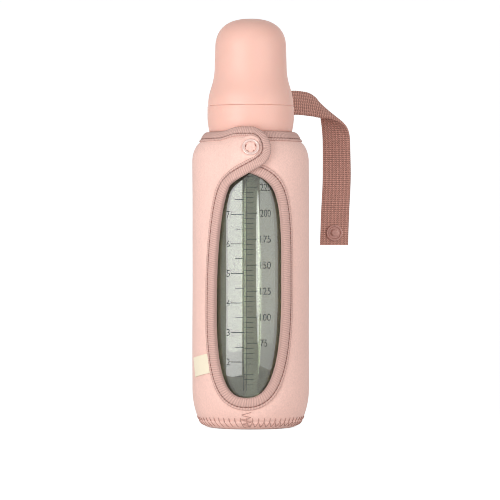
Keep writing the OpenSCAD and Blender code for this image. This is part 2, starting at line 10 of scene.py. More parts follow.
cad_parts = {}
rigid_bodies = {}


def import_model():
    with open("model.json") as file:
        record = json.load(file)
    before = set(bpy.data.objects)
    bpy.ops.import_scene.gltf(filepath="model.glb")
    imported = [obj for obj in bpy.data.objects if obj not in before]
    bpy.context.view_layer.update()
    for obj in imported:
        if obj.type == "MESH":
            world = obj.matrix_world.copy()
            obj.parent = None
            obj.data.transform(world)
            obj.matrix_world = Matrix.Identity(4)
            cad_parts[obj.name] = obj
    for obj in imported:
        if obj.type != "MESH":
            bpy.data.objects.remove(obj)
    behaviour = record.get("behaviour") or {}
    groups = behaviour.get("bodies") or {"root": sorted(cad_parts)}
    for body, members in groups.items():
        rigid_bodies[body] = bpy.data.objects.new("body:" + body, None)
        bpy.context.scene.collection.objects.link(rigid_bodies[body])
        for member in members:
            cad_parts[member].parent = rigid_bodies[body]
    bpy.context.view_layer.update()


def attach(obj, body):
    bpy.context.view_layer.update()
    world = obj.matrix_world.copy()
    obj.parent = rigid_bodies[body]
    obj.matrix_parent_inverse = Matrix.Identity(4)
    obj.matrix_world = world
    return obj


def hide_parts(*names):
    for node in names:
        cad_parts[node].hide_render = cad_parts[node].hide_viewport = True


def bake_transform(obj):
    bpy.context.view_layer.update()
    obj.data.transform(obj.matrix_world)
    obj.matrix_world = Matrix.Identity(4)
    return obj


bl_info = {
    "name": "Baby Bottle in a Carry Sleeve",
    "version": (1, 0, 0),
    "blender": (4, 5, 0),
    "location": "3D View > Sidebar > Baby Bottle",
    "description": "Cloth, tape, webbing, glass and finishes for a baby bottle in a neoprene sleeve",
    "category": "Add Mesh",
}

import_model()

MM = 0.001

# Sizes in millimetres, as the solid frame has them. U is a length round the sleeve, from its front to
# the right, and T is a length up its profile.
GLASS_R = 27.1
GLASS_WALL = 2.5
NECK_R = 18.4
NECK_Z = 164.8
COLLAR_BORE_R = 19.6
THREAD_PITCH = 4.0
CAP_Z = 166.4

# The sleeve's profile from the floor up: heel, long inward curve, upright wall, shoulder, cone to the rim.
BODY_R = 30.2
ROUND = 2 * math.pi * BODY_R
SLEEVE_WALL = 2.8
GLASS_OUT = 3.1
GLASS_IN = GLASS_OUT + GLASS_WALL
SHOULDER_Z = 138.0
SHOULDER_R = 15.0
SHOULDER_CX = BODY_R - SHOULDER_R
LEAN = math.radians(36)
ARC_T = SHOULDER_R * LEAN
RIM_Z = 153.0
RIM_T = SHOULDER_Z + ARC_T + (RIM_Z - SHOULDER_Z - SHOULDER_R * math.sin(LEAN)) / math.cos(LEAN)
TAPER_R = 40.0
TAPER_Z = 20.0
TAPER_CX = BODY_R - TAPER_R
HEEL_R = 7.5
HEEL_CX = TAPER_CX + math.sqrt((TAPER_R - HEEL_R) ** 2 - (TAPER_Z - HEEL_R) ** 2)
HEEL_LEAN = math.asin((TAPER_Z - HEEL_R) / (TAPER_R - HEEL_R))
SEAM_Z = 4.6

# The window, which leans to the left below UPRIGHT_T, and the zigzag seam under it.
HALF_W = 18.9
WINDOW_LOW = 16.5
WINDOW_MID = 66.5
WINDOW_FULLNESS = 2 / 2.45
WINDOW_LEAN = 0.0235
UPRIGHT_T = 115
SEAM_U = -2.4

# The binding tape, and where the foam lies under it.
TAPE_W = 6.2
TAPE_INNER_W = 5.4
TAPE_PROUD = 0.5
TAPE_FACE_T = 0.42
TAPE_BACK_T = 2.08
EDGE_IN = 0.72

# The flap over the tongue, and the press studs. CRUSH is how deep a stud presses the foam.
FOLD_U = 10.5
FLAP_TIP_R = 10.9
TONGUE_TIP_R = 6.4
SNAP_T = SHOULDER_Z + SHOULDER_R * math.asin(5 / SHOULDER_R)
SNAP_D = 8.6
SEAT_R = SNAP_D / 2 + 0.4
PRONG_RING_T = 0.75
PRONG_TURN = math.radians(92)
CRUSH = 0.9
FLAP_LIFT = SLEEVE_WALL + TAPE_PROUD + 0.3

# The strap and the label.
ANCHOR_TOP = 140.0
ANCHOR_H = 16.0
STRAP_W = 15.0
STRAP_T = 1.4
SLEEVE_TO_STRAP = 0.05
STRAP_Y = BODY_R + SLEEVE_TO_STRAP + STRAP_T / 2
LABEL_W = 10.0

# Millimetres of cloth in one unit of a piece's own map.
MAP_SPAN = 100


def srgb(red, green, blue):
    """A colour of 0 to 255 as the linear values that a shader takes."""
    shares = (c / 255 for c in (red, green, blue))
    return tuple(c / 12.92 if c <= 0.04045 else ((c + 0.055) / 1.055) ** 2.4 for c in shares)


def smooth(x):
    """A soft step from 0 to 1."""
    y = np.clip(x, 0, 1)
    return y * y * (3 - 2 * y)


def unit(v):
    """Vectors of length 1."""
    v = np.asarray(v, float)
    return v / np.maximum(np.linalg.norm(v, axis=-1, keepdims=True), 1e-12)


def arc(cx, cz, r, start, end, n):
    """Points of an arc, with its angles in degrees."""
    angles = [math.radians(v) for v in np.linspace(start, end, n + 1)]
    return [(cx + r * math.cos(v), cz + r * math.sin(v)) for v in angles]


def bezier(p, n):
    """Points of a curve between p[0] and p[3] that p[1] and p[2] pull at."""
    k = np.linspace(0, 1, n + 1)[:, None]
    p = np.array(p, float)
    return (1 - k) ** 3 * p[0] + 3 * k * (1 - k) ** 2 * p[1] + 3 * k * k * (1 - k) * p[2] + k ** 3 * p[3]


def lengths(path):
    """The length of a path from its start to each of its points."""
    return np.concatenate([[0], np.cumsum(np.linalg.norm(np.diff(path, axis=0), axis=1))])


# ---- The sleeve's outside ----


def lean(t):
    """The angle at which the profile leans, in radians: outwards below the wall and inwards above it."""
    t = np.asarray(t, float)
    low = -np.arcsin(np.clip((TAPER_Z - t) / TAPER_R, -1, 1))
    heel = -np.arcsin(np.clip((HEEL_R - t) / HEEL_R, -1, 1))
    high = np.minimum((t - SHOULDER_Z) / SHOULDER_R, LEAN)
    return np.where(t < SEAM_Z, heel, np.where(t < TAPER_Z, low, np.where(t < SHOULDER_Z, 0.0, high)))


def place(u, t, depth=0.0):
    """Points in metres of the sleeve's outside, or at a depth below it."""
    u, t, depth = np.broadcast_arrays(*(np.asarray(x, float) for x in (u, t, depth)))
    a = lean(t)
    past = np.maximum(0, t - SHOULDER_Z - ARC_T)
    high = SHOULDER_CX + SHOULDER_R * np.cos(a) - past * math.sin(LEAN)
    low = np.where(t < SEAM_Z, HEEL_CX + HEEL_R * np.cos(a), TAPER_CX + TAPER_R * np.cos(a))
    r = np.where(t < TAPER_Z, low, high) - depth * np.cos(a)
    z = np.where(t < SHOULDER_Z, t, SHOULDER_Z + SHOULDER_R * np.sin(a) + past * math.cos(LEAN))
    z = z - depth * np.sin(a)
    w = u / BODY_R
    return np.stack([r * np.sin(w), -r * np.cos(w), z], axis=-1) * MM


# The cloth rises over the tongue on a wider circle, so its outline is drawn in by these shares.
SHRINK_T = FLAP_LIFT / (SHOULDER_R + FLAP_LIFT)
SNAP_OUT = SHOULDER_CX + SHOULDER_R * math.cos(lean(SNAP_T))
SHRINK_U = 1 - BODY_R / (SNAP_OUT + FLAP_LIFT)
LEVEL_U = -(TONGUE_TIP_R + 0.4) / (1 - SHRINK_U)

# The rise starts at the fold, and further to the left towards the rim. Nothing rises beyond LEFT_U.
RISE_T = 110
RISE_OVER_T = 32
RISE_WIDER = 10.5
LEFT_U = -30


def risen(u, t):
    """How far the cloth has risen over the tongue, from 0 to 1. u is negative on the flap's side."""
    reach = FOLD_U + RISE_WIDER * smooth((np.asarray(t) - RISE_T) / RISE_OVER_T)
    return smooth((np.asarray(u) + reach) / (reach + LEVEL_U))


def raised(u, t, depth=0.0, k=None):
    """A place on the cloth that rises from the sleeve's left side over the tongue."""
    u, t = np.asarray(u, float), np.asarray(t, float)
    k = risen(u, t) if k is None else k
    off = np.maximum(t, SHOULDER_Z) - SNAP_T
    return place(u * (1 - k * SHRINK_U), t - k * SHRINK_T * np.minimum(off, 0), depth - k * FLAP_LIFT)


def on_bottle(u, t, depth=0.0):
    """A place on the sleeve, whose left side near the fold has started to rise."""
    u = np.asarray(u, float)
    left = np.where(u > ROUND / 2, u - ROUND, u)
    k = np.where((left < -FOLD_U + 0.01) & (left > LEFT_U), risen(left, t), 0.0)
    return raised(left, t, depth, k)


# ---- The window's edge ----

FOLD_CORNER = np.array([-FOLD_U - 0.3, SHOULDER_Z - 13.5])
LAPPED = np.array([-1.2, 131.3])
RIM_END_U = 1.5


def foot(side):
    """The window's round lower end, from its lowest point to one side."""
    v = np.radians(np.linspace(-89.6, 0, 70))
    t = WINDOW_MID - (WINDOW_MID - WINDOW_LOW) * np.abs(np.sin(v)) ** WINDOW_FULLNESS
    return np.column_stack([side * HALF_W * np.cos(v) ** WINDOW_FULLNESS + WINDOW_LEAN * (t - UPRIGHT_T), t])


def crown(side, r):
    """From beside the stud up to the rim."""
    angles = np.radians(np.linspace(8, 86, 18))
    return [(side * r * math.cos(v), SNAP_T + (RIM_T - SNAP_T) * math.sin(v)) for v in angles]


def tongue_edge():
    """Right edge from the window's lowest point up under the flap, round the tongue's tip and to the rim."""
    low = foot(1)
    u = low[-1][0]
    rise = bezier([(u, 86.2), (u, 123.7), (12.57, 126.6), LAPPED], 40)
    tip = (-TONGUE_TIP_R, SNAP_T)
    turn = bezier([LAPPED, (-5.5, 132.8), (-TONGUE_TIP_R - 0.5, 137.5), tip], 14)
    return np.array([*low, *rise, *turn[1:], *crown(-1, TONGUE_TIP_R)], float)


def flap_edge():
    """Left edge from the window's lowest point up, across to the flap's round tip and up to the rim."""
    low = foot(-1)
    u = low[-1][0]
    pull = FOLD_CORNER - 5.6 * FOLD_WAY
    rise = bezier([(u, WINDOW_MID), (u, WINDOW_MID + 26.7), pull, FOLD_CORNER], 40)
    touch = np.array([0, SNAP_T]) + FLAP_TIP_R * np.array([FOLD_WAY[1], -FOLD_WAY[0]])
    straight = [FOLD_CORNER + k * (touch - FOLD_CORNER) for k in (0.25, 0.5, 0.75)]
    start = math.atan2(-FOLD_WAY[0], FOLD_WAY[1])
    tip = [(FLAP_TIP_R * math.cos(v), SNAP_T + FLAP_TIP_R * math.sin(v)) for v in np.linspace(start, 0, 24)]
    return np.array([*low, *rise[1:], *straight, *tip, *crown(1, FLAP_TIP_R)], float)


def fold_way():
    """The way that the flap's lower edge runs, from its fold to a touch with its round tip."""
    d = np.array([0, SNAP_T]) - FOLD_CORNER
    way = math.atan2(d[1], d[0]) - math.asin(FLAP_TIP_R / np.linalg.norm(d))
    return np.array([math.cos(way), math.sin(way)])


def resampled(path, step):
    """The same path with evenly spaced points."""
    path = np.asarray(path, float)
    s = lengths(path)
    keep = np.concatenate([[True], np.diff(s) > 1e-9])
    path = path[keep]
    s = s[keep]
    at = np.linspace(0, s[-1], max(2, round(s[-1] / step) + 1))
    return np.stack([np.interp(at, s, path[:, 0]), np.interp(at, s, path[:, 1])], axis=-1)


def headings(path):
    """The way that a path runs at each of its points, a little smoothed."""
    d = np.gradient(path, axis=0)
    for _ in range(2):
        d[1:-1] = (d[:-2] + 2 * d[1:-1] + d[2:]) / 4
    return unit(d)


def sides(path):
    """The way to the right of a path at each of its points, which is into the cloth."""
    d = headings(path)
    return np.stack([d[:, 1], -d[:, 0]], axis=-1)


FOLD_WAY = fold_way()
TONGUE_EDGE = tongue_edge()
FLAP_DOWN = flap_edge()[::-1]
BELOW_FOLD = FLAP_DOWN[:, 1] < FOLD_CORNER[1] + 0.01
FOLD_FOOT = np.array([-FOLD_U, FOLD_CORNER[1] + 0.3 * FOLD_WAY[1] / FOLD_WAY[0]])
RIM_ROUND = [(u, RIM_T) for u in np.linspace(RIM_END_U, ROUND - FOLD_U, 60)]
RIM_FRONT = [(u, RIM_T) for u in np.linspace(-FOLD_U, -RIM_END_U, 6)]
BOTTLE_EDGE = resampled([FOLD_FOOT, *FLAP_DOWN[BELOW_FOLD], *TONGUE_EDGE, *RIM_ROUND], 1.0)
FLAP_LINE = resampled([*RIM_FRONT, *FLAP_DOWN[FLAP_DOWN[:, 1] > FOLD_CORNER[1] + 0.01], FOLD_FOOT], 1.0)


def edge_distance(points, path):
    """How far each (u, t) point lies from the path."""
    points, a, b = points[:, None, :], path[None, :-1], path[None, 1:]
    d = b - a
    k = np.clip(((points - a) * d).sum(-1) / np.maximum((d * d).sum(-1), 1e-12), 0, 1)[..., None]
    return np.sqrt((((a + k * d) - points) ** 2).sum(-1).min(axis=1))


def from_stud(u, t):
    """How far a place is from the middle of the press stud."""
    return np.hypot(u, t - SNAP_T)


# ---- Making meshes ----


def clear_selection():
    bpy.ops.object.select_all(action="DESELECT")


def pick(obj):
    clear_selection()
    obj.select_set(True)
    bpy.context.view_layer.objects.active = obj
    return obj


def edit(obj, *steps):
    """Runs mesh operators in edit mode on the whole of a piece."""
    pick(obj)
    bpy.ops.object.mode_set(mode="EDIT")
    bpy.ops.mesh.select_all(action="SELECT")
    for operator, values in steps:
        operator(**values)
    bpy.ops.object.mode_set(mode="OBJECT")
    return obj


def named(obj, name):
    obj.name = obj.data.name = name
    return obj


def finish(obj, material, body, angle=35):
    """Smooths a piece, gives it its finish and lets it move with its body, if it is given one."""
    pick(obj)
    bpy.ops.object.shade_smooth_by_angle(angle=math.radians(angle))
    obj.data.materials.clear()
    for m in material if isinstance(material, (list, tuple)) else [material]:
        obj.data.materials.append(m)
    if body:
        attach(obj, body)
    return obj


def from_faces(name, points, faces, uv=None, kinds=None):
    """A mesh piece from points in metres. uv holds one pair of millimetres for each point."""
    mesh = bpy.data.meshes.new(name)
    corners = [tuple(p) for p in np.asarray(points, float)]
    mesh.from_pydata(corners, [], [tuple(int(i) for i in f) for f in faces])
    mesh.validate()
    obj = bpy.data.objects.new(name, mesh)
    bpy.context.collection.objects.link(obj)
    if uv is not None:
        layer = mesh.uv_layers.new(name="Cloth")
        index = np.empty(len(mesh.loops), int)
        mesh.loops.foreach_get("vertex_index", index)
        layer.data.foreach_set("uv", (np.asarray(uv, float)[index] / MAP_SPAN).astype(np.float32).ravel())
    if kinds is not None:
        mesh.polygons.foreach_set("material_index", np.asarray(kinds, int))
    return obj


def select_mode(kind):
    """Opens edit mode on vertices or edges."""
    bpy.ops.object.mode_set(mode="EDIT")
    bpy.ops.mesh.select_mode(type=kind)


def turned(name, outline, steps=192):
    """A piece turned round the axis from the outline of its section, in millimetres."""
    last = len(outline) - 1
    clear_selection()
    bpy.ops.mesh.primitive_circle_add(vertices=len(outline), radius=0.01)
    obj = named(bpy.context.object, name)
    for v, (r, z) in zip(obj.data.vertices, outline):
        v.co = (r * MM, 0, z * MM)
    bpy.ops.object.mode_set(mode="EDIT")
    bpy.ops.mesh.select_all(action="DESELECT")
    bpy.ops.object.mode_set(mode="OBJECT")
    if outline[0][0] == 0 and outline[last][0] == 0:
        for e in obj.data.edges:
            e.select = set(e.vertices) == {0, last}
        select_mode("EDGE")
        bpy.ops.mesh.delete(type="EDGE")
        select_mode("VERT")
        bpy.ops.object.mode_set(mode="OBJECT")
    return edit(obj,
                (bpy.ops.mesh.spin, dict(steps=steps, angle=2 * math.pi, center=(0, 0, 0), axis=(0, 0, 1))),
                (bpy.ops.mesh.select_all, dict(action="SELECT")),
                (bpy.ops.mesh.remove_doubles, dict(threshold=2e-6)),
                (bpy.ops.mesh.normals_make_consistent, dict(inside=False)))


def inside(points, loop):
    """Which (u, t) points lie inside a closed loop."""
    hit = np.zeros(len(points), bool)
    for (ax, ay), (bx, by) in zip(loop, np.roll(loop, -1, axis=0)):
        if ay != by:
            cross = (ay > points[:, 1]) != (by > points[:, 1])
            hit ^= cross & (points[:, 0] < (bx - ax) * (points[:, 1] - ay) / (by - ay) + ax)
    return hit


def lattice(low, high, step):
    """The points of a square grid between two corners."""
    grid = np.meshgrid(np.arange(low[0], high[0], step), np.arange(low[1], high[1], step))
    return np.stack(grid, axis=-1).reshape(-1, 2)


def cloth(name, loop, face, back, spot, spacing, open_lines=(), fine=None):
    """A thick sheet in the (u, t) plane inside a loop that runs anticlockwise.
    face and back give the depths of its two sides, and spot turns (u, t, depth) into a place.
    No edge is closed along open_lines, the values of u where the sheet meets itself.
    fine is the radius round the stud and the spacing of the points there."""
    grid = lattice(loop.min(axis=0), loop.max(axis=0), spacing)
    if fine:
        r, step = fine
        close = lattice((-r, -r), (r, r), step)
        stud = np.array([0, SNAP_T])
        far = np.linalg.norm(grid - stud, axis=1) > r + spacing / 2
        grid = np.vstack([grid[far], close[np.linalg.norm(close, axis=1) < r] + stud])
    grid = grid[inside(grid, loop)]
    ring = np.vstack([loop, loop[:1]])
    grid = grid[edge_distance(grid, ring) > spacing * 0.45]
    found = delaunay_2d_cdt([Vector(p) for p in [*loop, *grid]], [], [list(range(len(loop)))], 1, 1e-5)
    points = np.array([tuple(v) for v in found[0]])
    triangles = found[2]
    n = len(points)
    u, t = points[:, 0], points[:, 1]
    where = np.vstack([spot(u, t, face(u, t)), spot(u, t, back(u, t))])
    steps = dict.fromkeys((a, b) for f in triangles for a, b in zip(f, [*f[1:], f[0]]))

    def open_at(a, b):
        return any(abs(points[a][0] - x) < 1e-4 and abs(points[b][0] - x) < 1e-4 for x in open_lines)

    rim = [(a, b) for a, b in steps if (b, a) not in steps and not open_at(a, b)]
    back_faces = [[i + n for i in f[::-1]] for f in triangles]
    rim_faces = [[b, a, a + n, b + n] for a, b in rim]
    kinds = [0] * len(triangles) + [1] * len(triangles) + [0] * len(rim)
    return from_faces(name, where, [*triangles, *back_faces, *rim_faces], np.vstack([points, points]), kinds)


def swept_faces(rows, m):
    """The faces of a solid band, from rows of m points round its section."""
    faces = [[i * m + j, i * m + (j + 1) % m, (i + 1) * m + (j + 1) % m, (i + 1) * m + j]
             for i in range(rows - 1) for j in range(m)]
    return faces + [list(range(m))[::-1], [(rows - 1) * m + j for j in range(m)]]


def strip(name, stations, section, spot, press=None):
    """A band swept along stations (point, way across, heading, length so far).
    Its closed section holds (width, depth), and its inner side is deeper than inner_side."""
    inner_side = 1.2
    section = np.asarray(section, float)
    run = lengths(section)
    points, uv = [], []
    for p, across, way, s in stations:
        off = section[:, :1] * across
        q = p + off
        depth = section[:, 1]
        if press is not None:
            depth = press(q[:, 0], q[:, 1], depth)
        points.append(spot(q[:, 0], q[:, 1], depth))
        beside = np.abs(off @ np.array([way[1], -way[0]]))
        beside = np.where(section[:, 1] < inner_side, beside, -run * 0.5)
        uv.append(np.stack([s + off @ way, beside], axis=-1))
    return from_faces(name, np.vstack(points), swept_faces(len(stations), len(section)), np.vstack(uv))


def tube(name, paths, radius):
    """Round threads along paths of points in metres."""
    curve = bpy.data.curves.new(name, "CURVE")
    curve.dimensions = "3D"
    curve.bevel_depth = radius * MM
    curve.bevel_resolution = 1
    curve.use_fill_caps = True
    for path in paths:
        spline = curve.splines.new("POLY")
        spline.points.add(len(path) - 1)
        with_weight = np.column_stack([path, np.ones(len(path))])
        spline.points.foreach_set("co", with_weight.astype(np.float32).ravel())
    obj = bpy.data.objects.new(name, curve)
    bpy.context.collection.objects.link(obj)
    pick(obj)
    bpy.ops.object.convert(target="MESH")
    return named(bpy.context.object, name)


def helix(name, r, section, start, turns, pitch, way=1):
    """A screw thread with run-out ends. section holds (height out from the wall, height along the axis).
    The thread stands outwards, or inwards where way is -1."""
    n = round(turns * 72)
    run_out = 7
    points = []
    for i in range(n + 1):
        a = 2 * math.pi * turns * i / n
        out = float(smooth(min(i, n - i) / run_out))
        middle = start + pitch * turns * i / n
        for h, z in section:
            q = r + way * (h * out if h > 0 else h)
            up = middle + z * (0.4 + 0.6 * out)
            points.append((q * math.sin(a) * MM, -q * math.cos(a) * MM, up * MM))
    obj = from_faces(name, points, swept_faces(n + 1, len(section)))
    return edit(obj, (bpy.ops.mesh.normals_make_consistent, dict(inside=False)))


# ---- Finishes ----


class Finish:
    """A material and the nodes of its pattern. Lengths are in millimetres."""

    def __init__(self, name, colour, roughness=0.5, **sockets):
        self.material = bpy.data.materials.new(name)
        self.material.use_nodes = True
        self.tree = self.material.node_tree
        self.shader = next(n for n in self.tree.nodes if n.type == "BSDF_PRINCIPLED")
        self.colour = (*tuple(colour)[:3], 1.0)
        self.shader.inputs["Base Color"].default_value = self.colour
        self.shader.inputs["Roughness"].default_value = roughness
        self.material.diffuse_color = self.colour
        for key, number in sockets.items():
            self.shader.inputs[key.replace("_", " ")].default_value = number

    def put(self, source, socket):
        """Links a socket, or sets a number or colour."""
        if isinstance(source, bpy.types.NodeSocket):
            self.tree.links.new(source, socket)
        else:
            socket.default_value = source

    def node(self, kind, *inputs, **settings):
        """A node with its first inputs filled. None leaves an input as it is."""
        n = self.tree.nodes.new(kind)
        for key, setting in settings.items():
            setattr(n, key, setting)
        for source, socket in zip(inputs, n.inputs):
            if source is not None:
                self.put(source, socket)
        return n

    def math(self, operation, *inputs):
        return self.node("ShaderNodeMath", *inputs, operation=operation).outputs[0]

    def along_cloth(self):
        """The piece's own map, in millimetres: along and across the cloth."""
        uv = self.node("ShaderNodeUVMap", uv_map="Cloth").outputs[0]
        in_mm = self.node("ShaderNodeVectorMath", uv, (MAP_SPAN, MAP_SPAN, MAP_SPAN), operation="MULTIPLY")
        return self.node("ShaderNodeSeparateXYZ", in_mm.outputs[0])

    def place(self, size, stretch=(1, 1, 1)):
        """Object coordinates, with one unit for each length of size."""
        where = self.node("ShaderNodeTexCoord").outputs["Object"]
        scale = tuple(s / size / MM for s in stretch)
        return self.node("ShaderNodeMapping", where, None, None, scale).outputs[0]

    def noise(self, size, detail=2.0, stretch=(1, 1, 1)):
        """Soft unevenness, with lumps of about the size given."""
        return self.node("ShaderNodeTexNoise", self.place(size, stretch), None, 1.0, detail).outputs["Fac"]

    def bands(self, along, pitch, shift=0.0):
        """A sine across the value given, from 0 to 1, that repeats each pitch."""
        turned_by = self.math("MULTIPLY_ADD", along, 2 * math.pi / pitch, shift)
        return self.math("MULTIPLY_ADD", self.math("SINE", turned_by), 0.5, 0.5)

    def spread(self, value, low, high):
        """A value of 0 to 1, made to run from low to high."""
        return self.math("MULTIPLY_ADD", value, high - low, low)

    def shade(self, *factors):
        """Multiplies the base colour by each factor."""
        total = factors[0]
        for factor in factors[1:]:
            total = self.math("MULTIPLY", total, factor)
        colour = self.node("ShaderNodeVectorMath", self.colour[:3], operation="SCALE")
        self.put(total, colour.inputs["Scale"])
        self.put(colour.outputs[0], self.shader.inputs["Base Color"])

    def bump(self, height, depth, strength=1.0):
        """Raises the surface by a height of 0 to 1 times the depth."""
        n = self.node("ShaderNodeBump")
        n.inputs["Strength"].default_value = strength
        n.inputs["Distance"].default_value = depth * MM
        self.put(height, n.inputs["Height"])
        self.put(n.outputs[0], self.shader.inputs["Normal"])


def knitted(name, colour, wale=0.62, course=0.5):
    """Fine jersey over foam: rows of small loops, a soft nap and faint mottling."""
    f = Finish(name, colour, 0.9, Sheen_Weight=0.3, Sheen_Roughness=0.4, Specular_IOR_Level=0.25)
    uv = f.along_cloth()
    wales, courses = f.bands(uv.outputs[0], wale), f.bands(uv.outputs[1], course)
    loops = f.math("MULTIPLY", wales, courses)
    fine, wide = f.noise(0.9, 3), f.noise(16, 3)
    f.shade(f.spread(loops, 0.955, 1.03), f.spread(fine, 0.86, 1.14), f.spread(wide, 0.97, 1.03))
    f.bump(f.math("ADD", loops, f.math("MULTIPLY", fine, 1.5)), 0.07, 0.5)
    return f.material


def ribbed(name, colour, rib, groove):
    """Grosgrain binding: slanted cross ribs, a stitched groove with painted shade along it, a paler selvage
    and painted shade along the turned edge.
    """
    f = Finish(name, colour, 0.8, Sheen_Weight=0.08, Sheen_Roughness=0.4, Specular_IOR_Level=0.25)
    uv = f.along_cloth()
    slant, groove_w, turn_w = 0.16, 0.5, 1.3
    ribs = f.math("POWER", f.bands(f.math("MULTIPLY_ADD", uv.outputs[1], slant, uv.outputs[0]), rib), 0.55)
    fine = f.noise(0.35, 2)
    # Painted shade: the colour darkens along the stitched groove, where the groove's shade falls.
    from_groove = f.math("ABSOLUTE", f.math("SUBTRACT", uv.outputs[1], groove))
    painted_groove_shade = f.math("SMOOTH_MIN", f.math("DIVIDE", from_groove, groove_w), 1.0, 0.3)
    # Painted shade: the colour darkens along the turned edge beside the window's glass.
    from_turn = f.math("ABSOLUTE", uv.outputs[1])
    painted_edge_shade = f.math("SMOOTH_MIN", f.math("DIVIDE", from_turn, turn_w), 1.0, 0.3)
    selvage = f.math("GREATER_THAN", uv.outputs[1], groove)
    f.shade(f.spread(ribs, 0.84, 1.05), f.spread(painted_groove_shade, 0.55, 1.0), f.spread(fine, 0.93, 1.07),
            f.spread(selvage, 1.0, 1.06), f.spread(painted_edge_shade, 0.82, 1.0))
    f.bump(f.math("ADD", ribs, f.math("MULTIPLY", fine, 0.4)), 0.2, 0.9)
    return f.material


def woven(name, colour, row, column):
    """Heavy webbing: rows of picks over lengthwise cords."""
    f = Finish(name, colour, 0.78, Sheen_Weight=0.08, Sheen_Roughness=0.4, Specular_IOR_Level=0.25)
    uv = f.along_cloth()
    cords = f.bands(uv.outputs[1], column)
    stagger = f.math("MULTIPLY_ADD", f.bands(uv.outputs[1], column / 2), row * 0.25, uv.outputs[0])
    rows = f.bands(stagger, row)
    crowns = f.spread(f.bands(uv.outputs[1], column / 2), 0.45, 1.0)
    picks = f.math("POWER", f.math("MULTIPLY", rows, crowns), 0.6)
    fine = f.noise(0.3, 2)
    f.shade(f.spread(picks, 0.62, 1.22), f.spread(cords, 0.84, 1.1), f.spread(fine, 0.9, 1.1))
    f.bump(f.math("ADD", picks, f.math("MULTIPLY", fine, 0.25)), 0.3, 0.8)
    return f.material


def moulded(name, colour, roughness=0.46):
    """Satin plastic with the faint unevenness of the mould."""
    f = Finish(name, colour, roughness, Subsurface_Weight=0.08, Subsurface_Scale=0.002,
               Coat_Weight=0.05, Coat_Roughness=0.4)
    fine, wide = f.noise(0.45, 2), f.noise(14, 2)
    f.shade(f.spread(wide, 0.985, 1.015), f.spread(fine, 0.99, 1.01))
    f.put(f.spread(f.noise(3, 3), roughness - 0.05, roughness + 0.06), f.shader.inputs["Roughness"])
    f.bump(f.math("ADD", fine, f.math("MULTIPLY", wide, 2.0)), 0.012, 0.5)
    return f.material


def blown_glass(name, colour):
    """Clear glass with long shallow waves and a polished skin."""
    f = Finish(name, colour, 0.0, Transmission_Weight=0.965, IOR=1.5, Coat_Weight=0.7, Coat_Roughness=0.01)
    f.bump(f.noise(26, 1, (1, 1, 0.35)), 0.25, 0.25)
    return f.material


def silicone(name, colour):
    """Milky rubber that lets some light through."""
    f = Finish(name, colour, 0.3, Transmission_Weight=0.35, IOR=1.41,
               Subsurface_Weight=0.4, Subsurface_Scale=0.004)
    f.shade(f.spread(f.noise(9, 2), 0.97, 1.03))
    f.bump(f.noise(0.7, 2), 0.01, 0.4)
    return f.material


def enamelled(name, colour):
    """A pressed stud with a thin satin enamel, a little worn."""
    f = Finish(name, colour, 0.34, Metallic=0.25, Coat_Weight=0.3, Coat_Roughness=0.15)
    wide, fine = f.noise(1.6, 3), f.noise(0.15, 2)
    f.shade(f.spread(wide, 0.92, 1.06))
    f.put(f.spread(fine, 0.28, 0.42), f.shader.inputs["Roughness"])
    f.bump(fine, 0.01, 0.3)
    return f.material


def spun(name, colour):
    """Twisted sewing thread."""
    f = Finish(name, colour, 0.6, Sheen_Weight=0.2)
    twist = f.node("ShaderNodeTexWave", f.place(0.3), bands_direction="DIAGONAL").outputs["Fac"]
    f.shade(f.spread(twist, 0.8, 1.1))
    f.bump(twist, 0.05, 0.6)
    return f.material


def satin(name, colour):
    """Fine label ribbon, woven at right angles."""
    f = Finish(name, colour, 0.55, Sheen_Weight=0.3, Sheen_Roughness=0.3)
    uv = f.along_cloth()
    weave = f.math("MULTIPLY", f.bands(uv.outputs[0], 0.3), f.bands(uv.outputs[1], 0.26))
    f.shade(f.spread(weave, 0.96, 1.02), f.spread(f.noise(5, 2), 0.97, 1.02))
    f.bump(weave, 0.03, 0.4)
    return f.material


def inked(name, colour):
    """Screen print, a little uneven where the ink is thin."""
    f = Finish(name, colour, 0.5)
    f.shade(f.spread(f.noise(0.4, 2), 0.85, 1.15))
    return f.material


def finish_of(name):
    """The material made for a finish, by its name."""
    return bpy.data.materials[name]


# ---- Settings ----


def size(name, description, default, low, high):
    """A length setting, given in millimetres and kept in metres."""
    return bpy.props.FloatProperty(name=name, description=description + ", in metres",
                                   default=default * MM, min=low * MM, max=high * MM,
                                   unit="LENGTH", subtype="DISTANCE", precision=5)


def tint(name, description, red, green, blue):
    """A colour setting, given as 0 to 255."""
    return bpy.props.FloatVectorProperty(name=name, description=description, default=srgb(red, green, blue),
                                         subtype="COLOR", size=3, min=0, max=1)


class BottleSizes(bpy.types.PropertyGroup):
    rib: size("Tape Rib", "Distance between the tape's cross ribs", 1.1, 0.3, 1.5)
    groove: size("Tape Groove", "Distance of the stitched groove from the tape's edge", 4.75, 3, 5.5)
    dash: size("Stitch Length", "Length of a stitch along the tape", 1.6, 1, 3)
    dash_gap: size("Stitch Gap", "Gap between two stitches", 0.85, 0.3, 2)
    thread: size("Thread", "Thickness of the sewing thread", 0.4, 0.2, 0.8)
    zigzag: size("Zigzag Pitch", "Distance between two points of the zigzag seam", 3.4, 2, 6)
    pick: size("Webbing Pick", "Distance between the webbing's rows", 1.12, 0.5, 2)
    cord: size("Webbing Cord", "Distance between the webbing's lengthwise cords", 1.9, 0.5, 2)
    figure: size("Figure Height", "Height of the figures on the glass", 3.6, 2, 6)


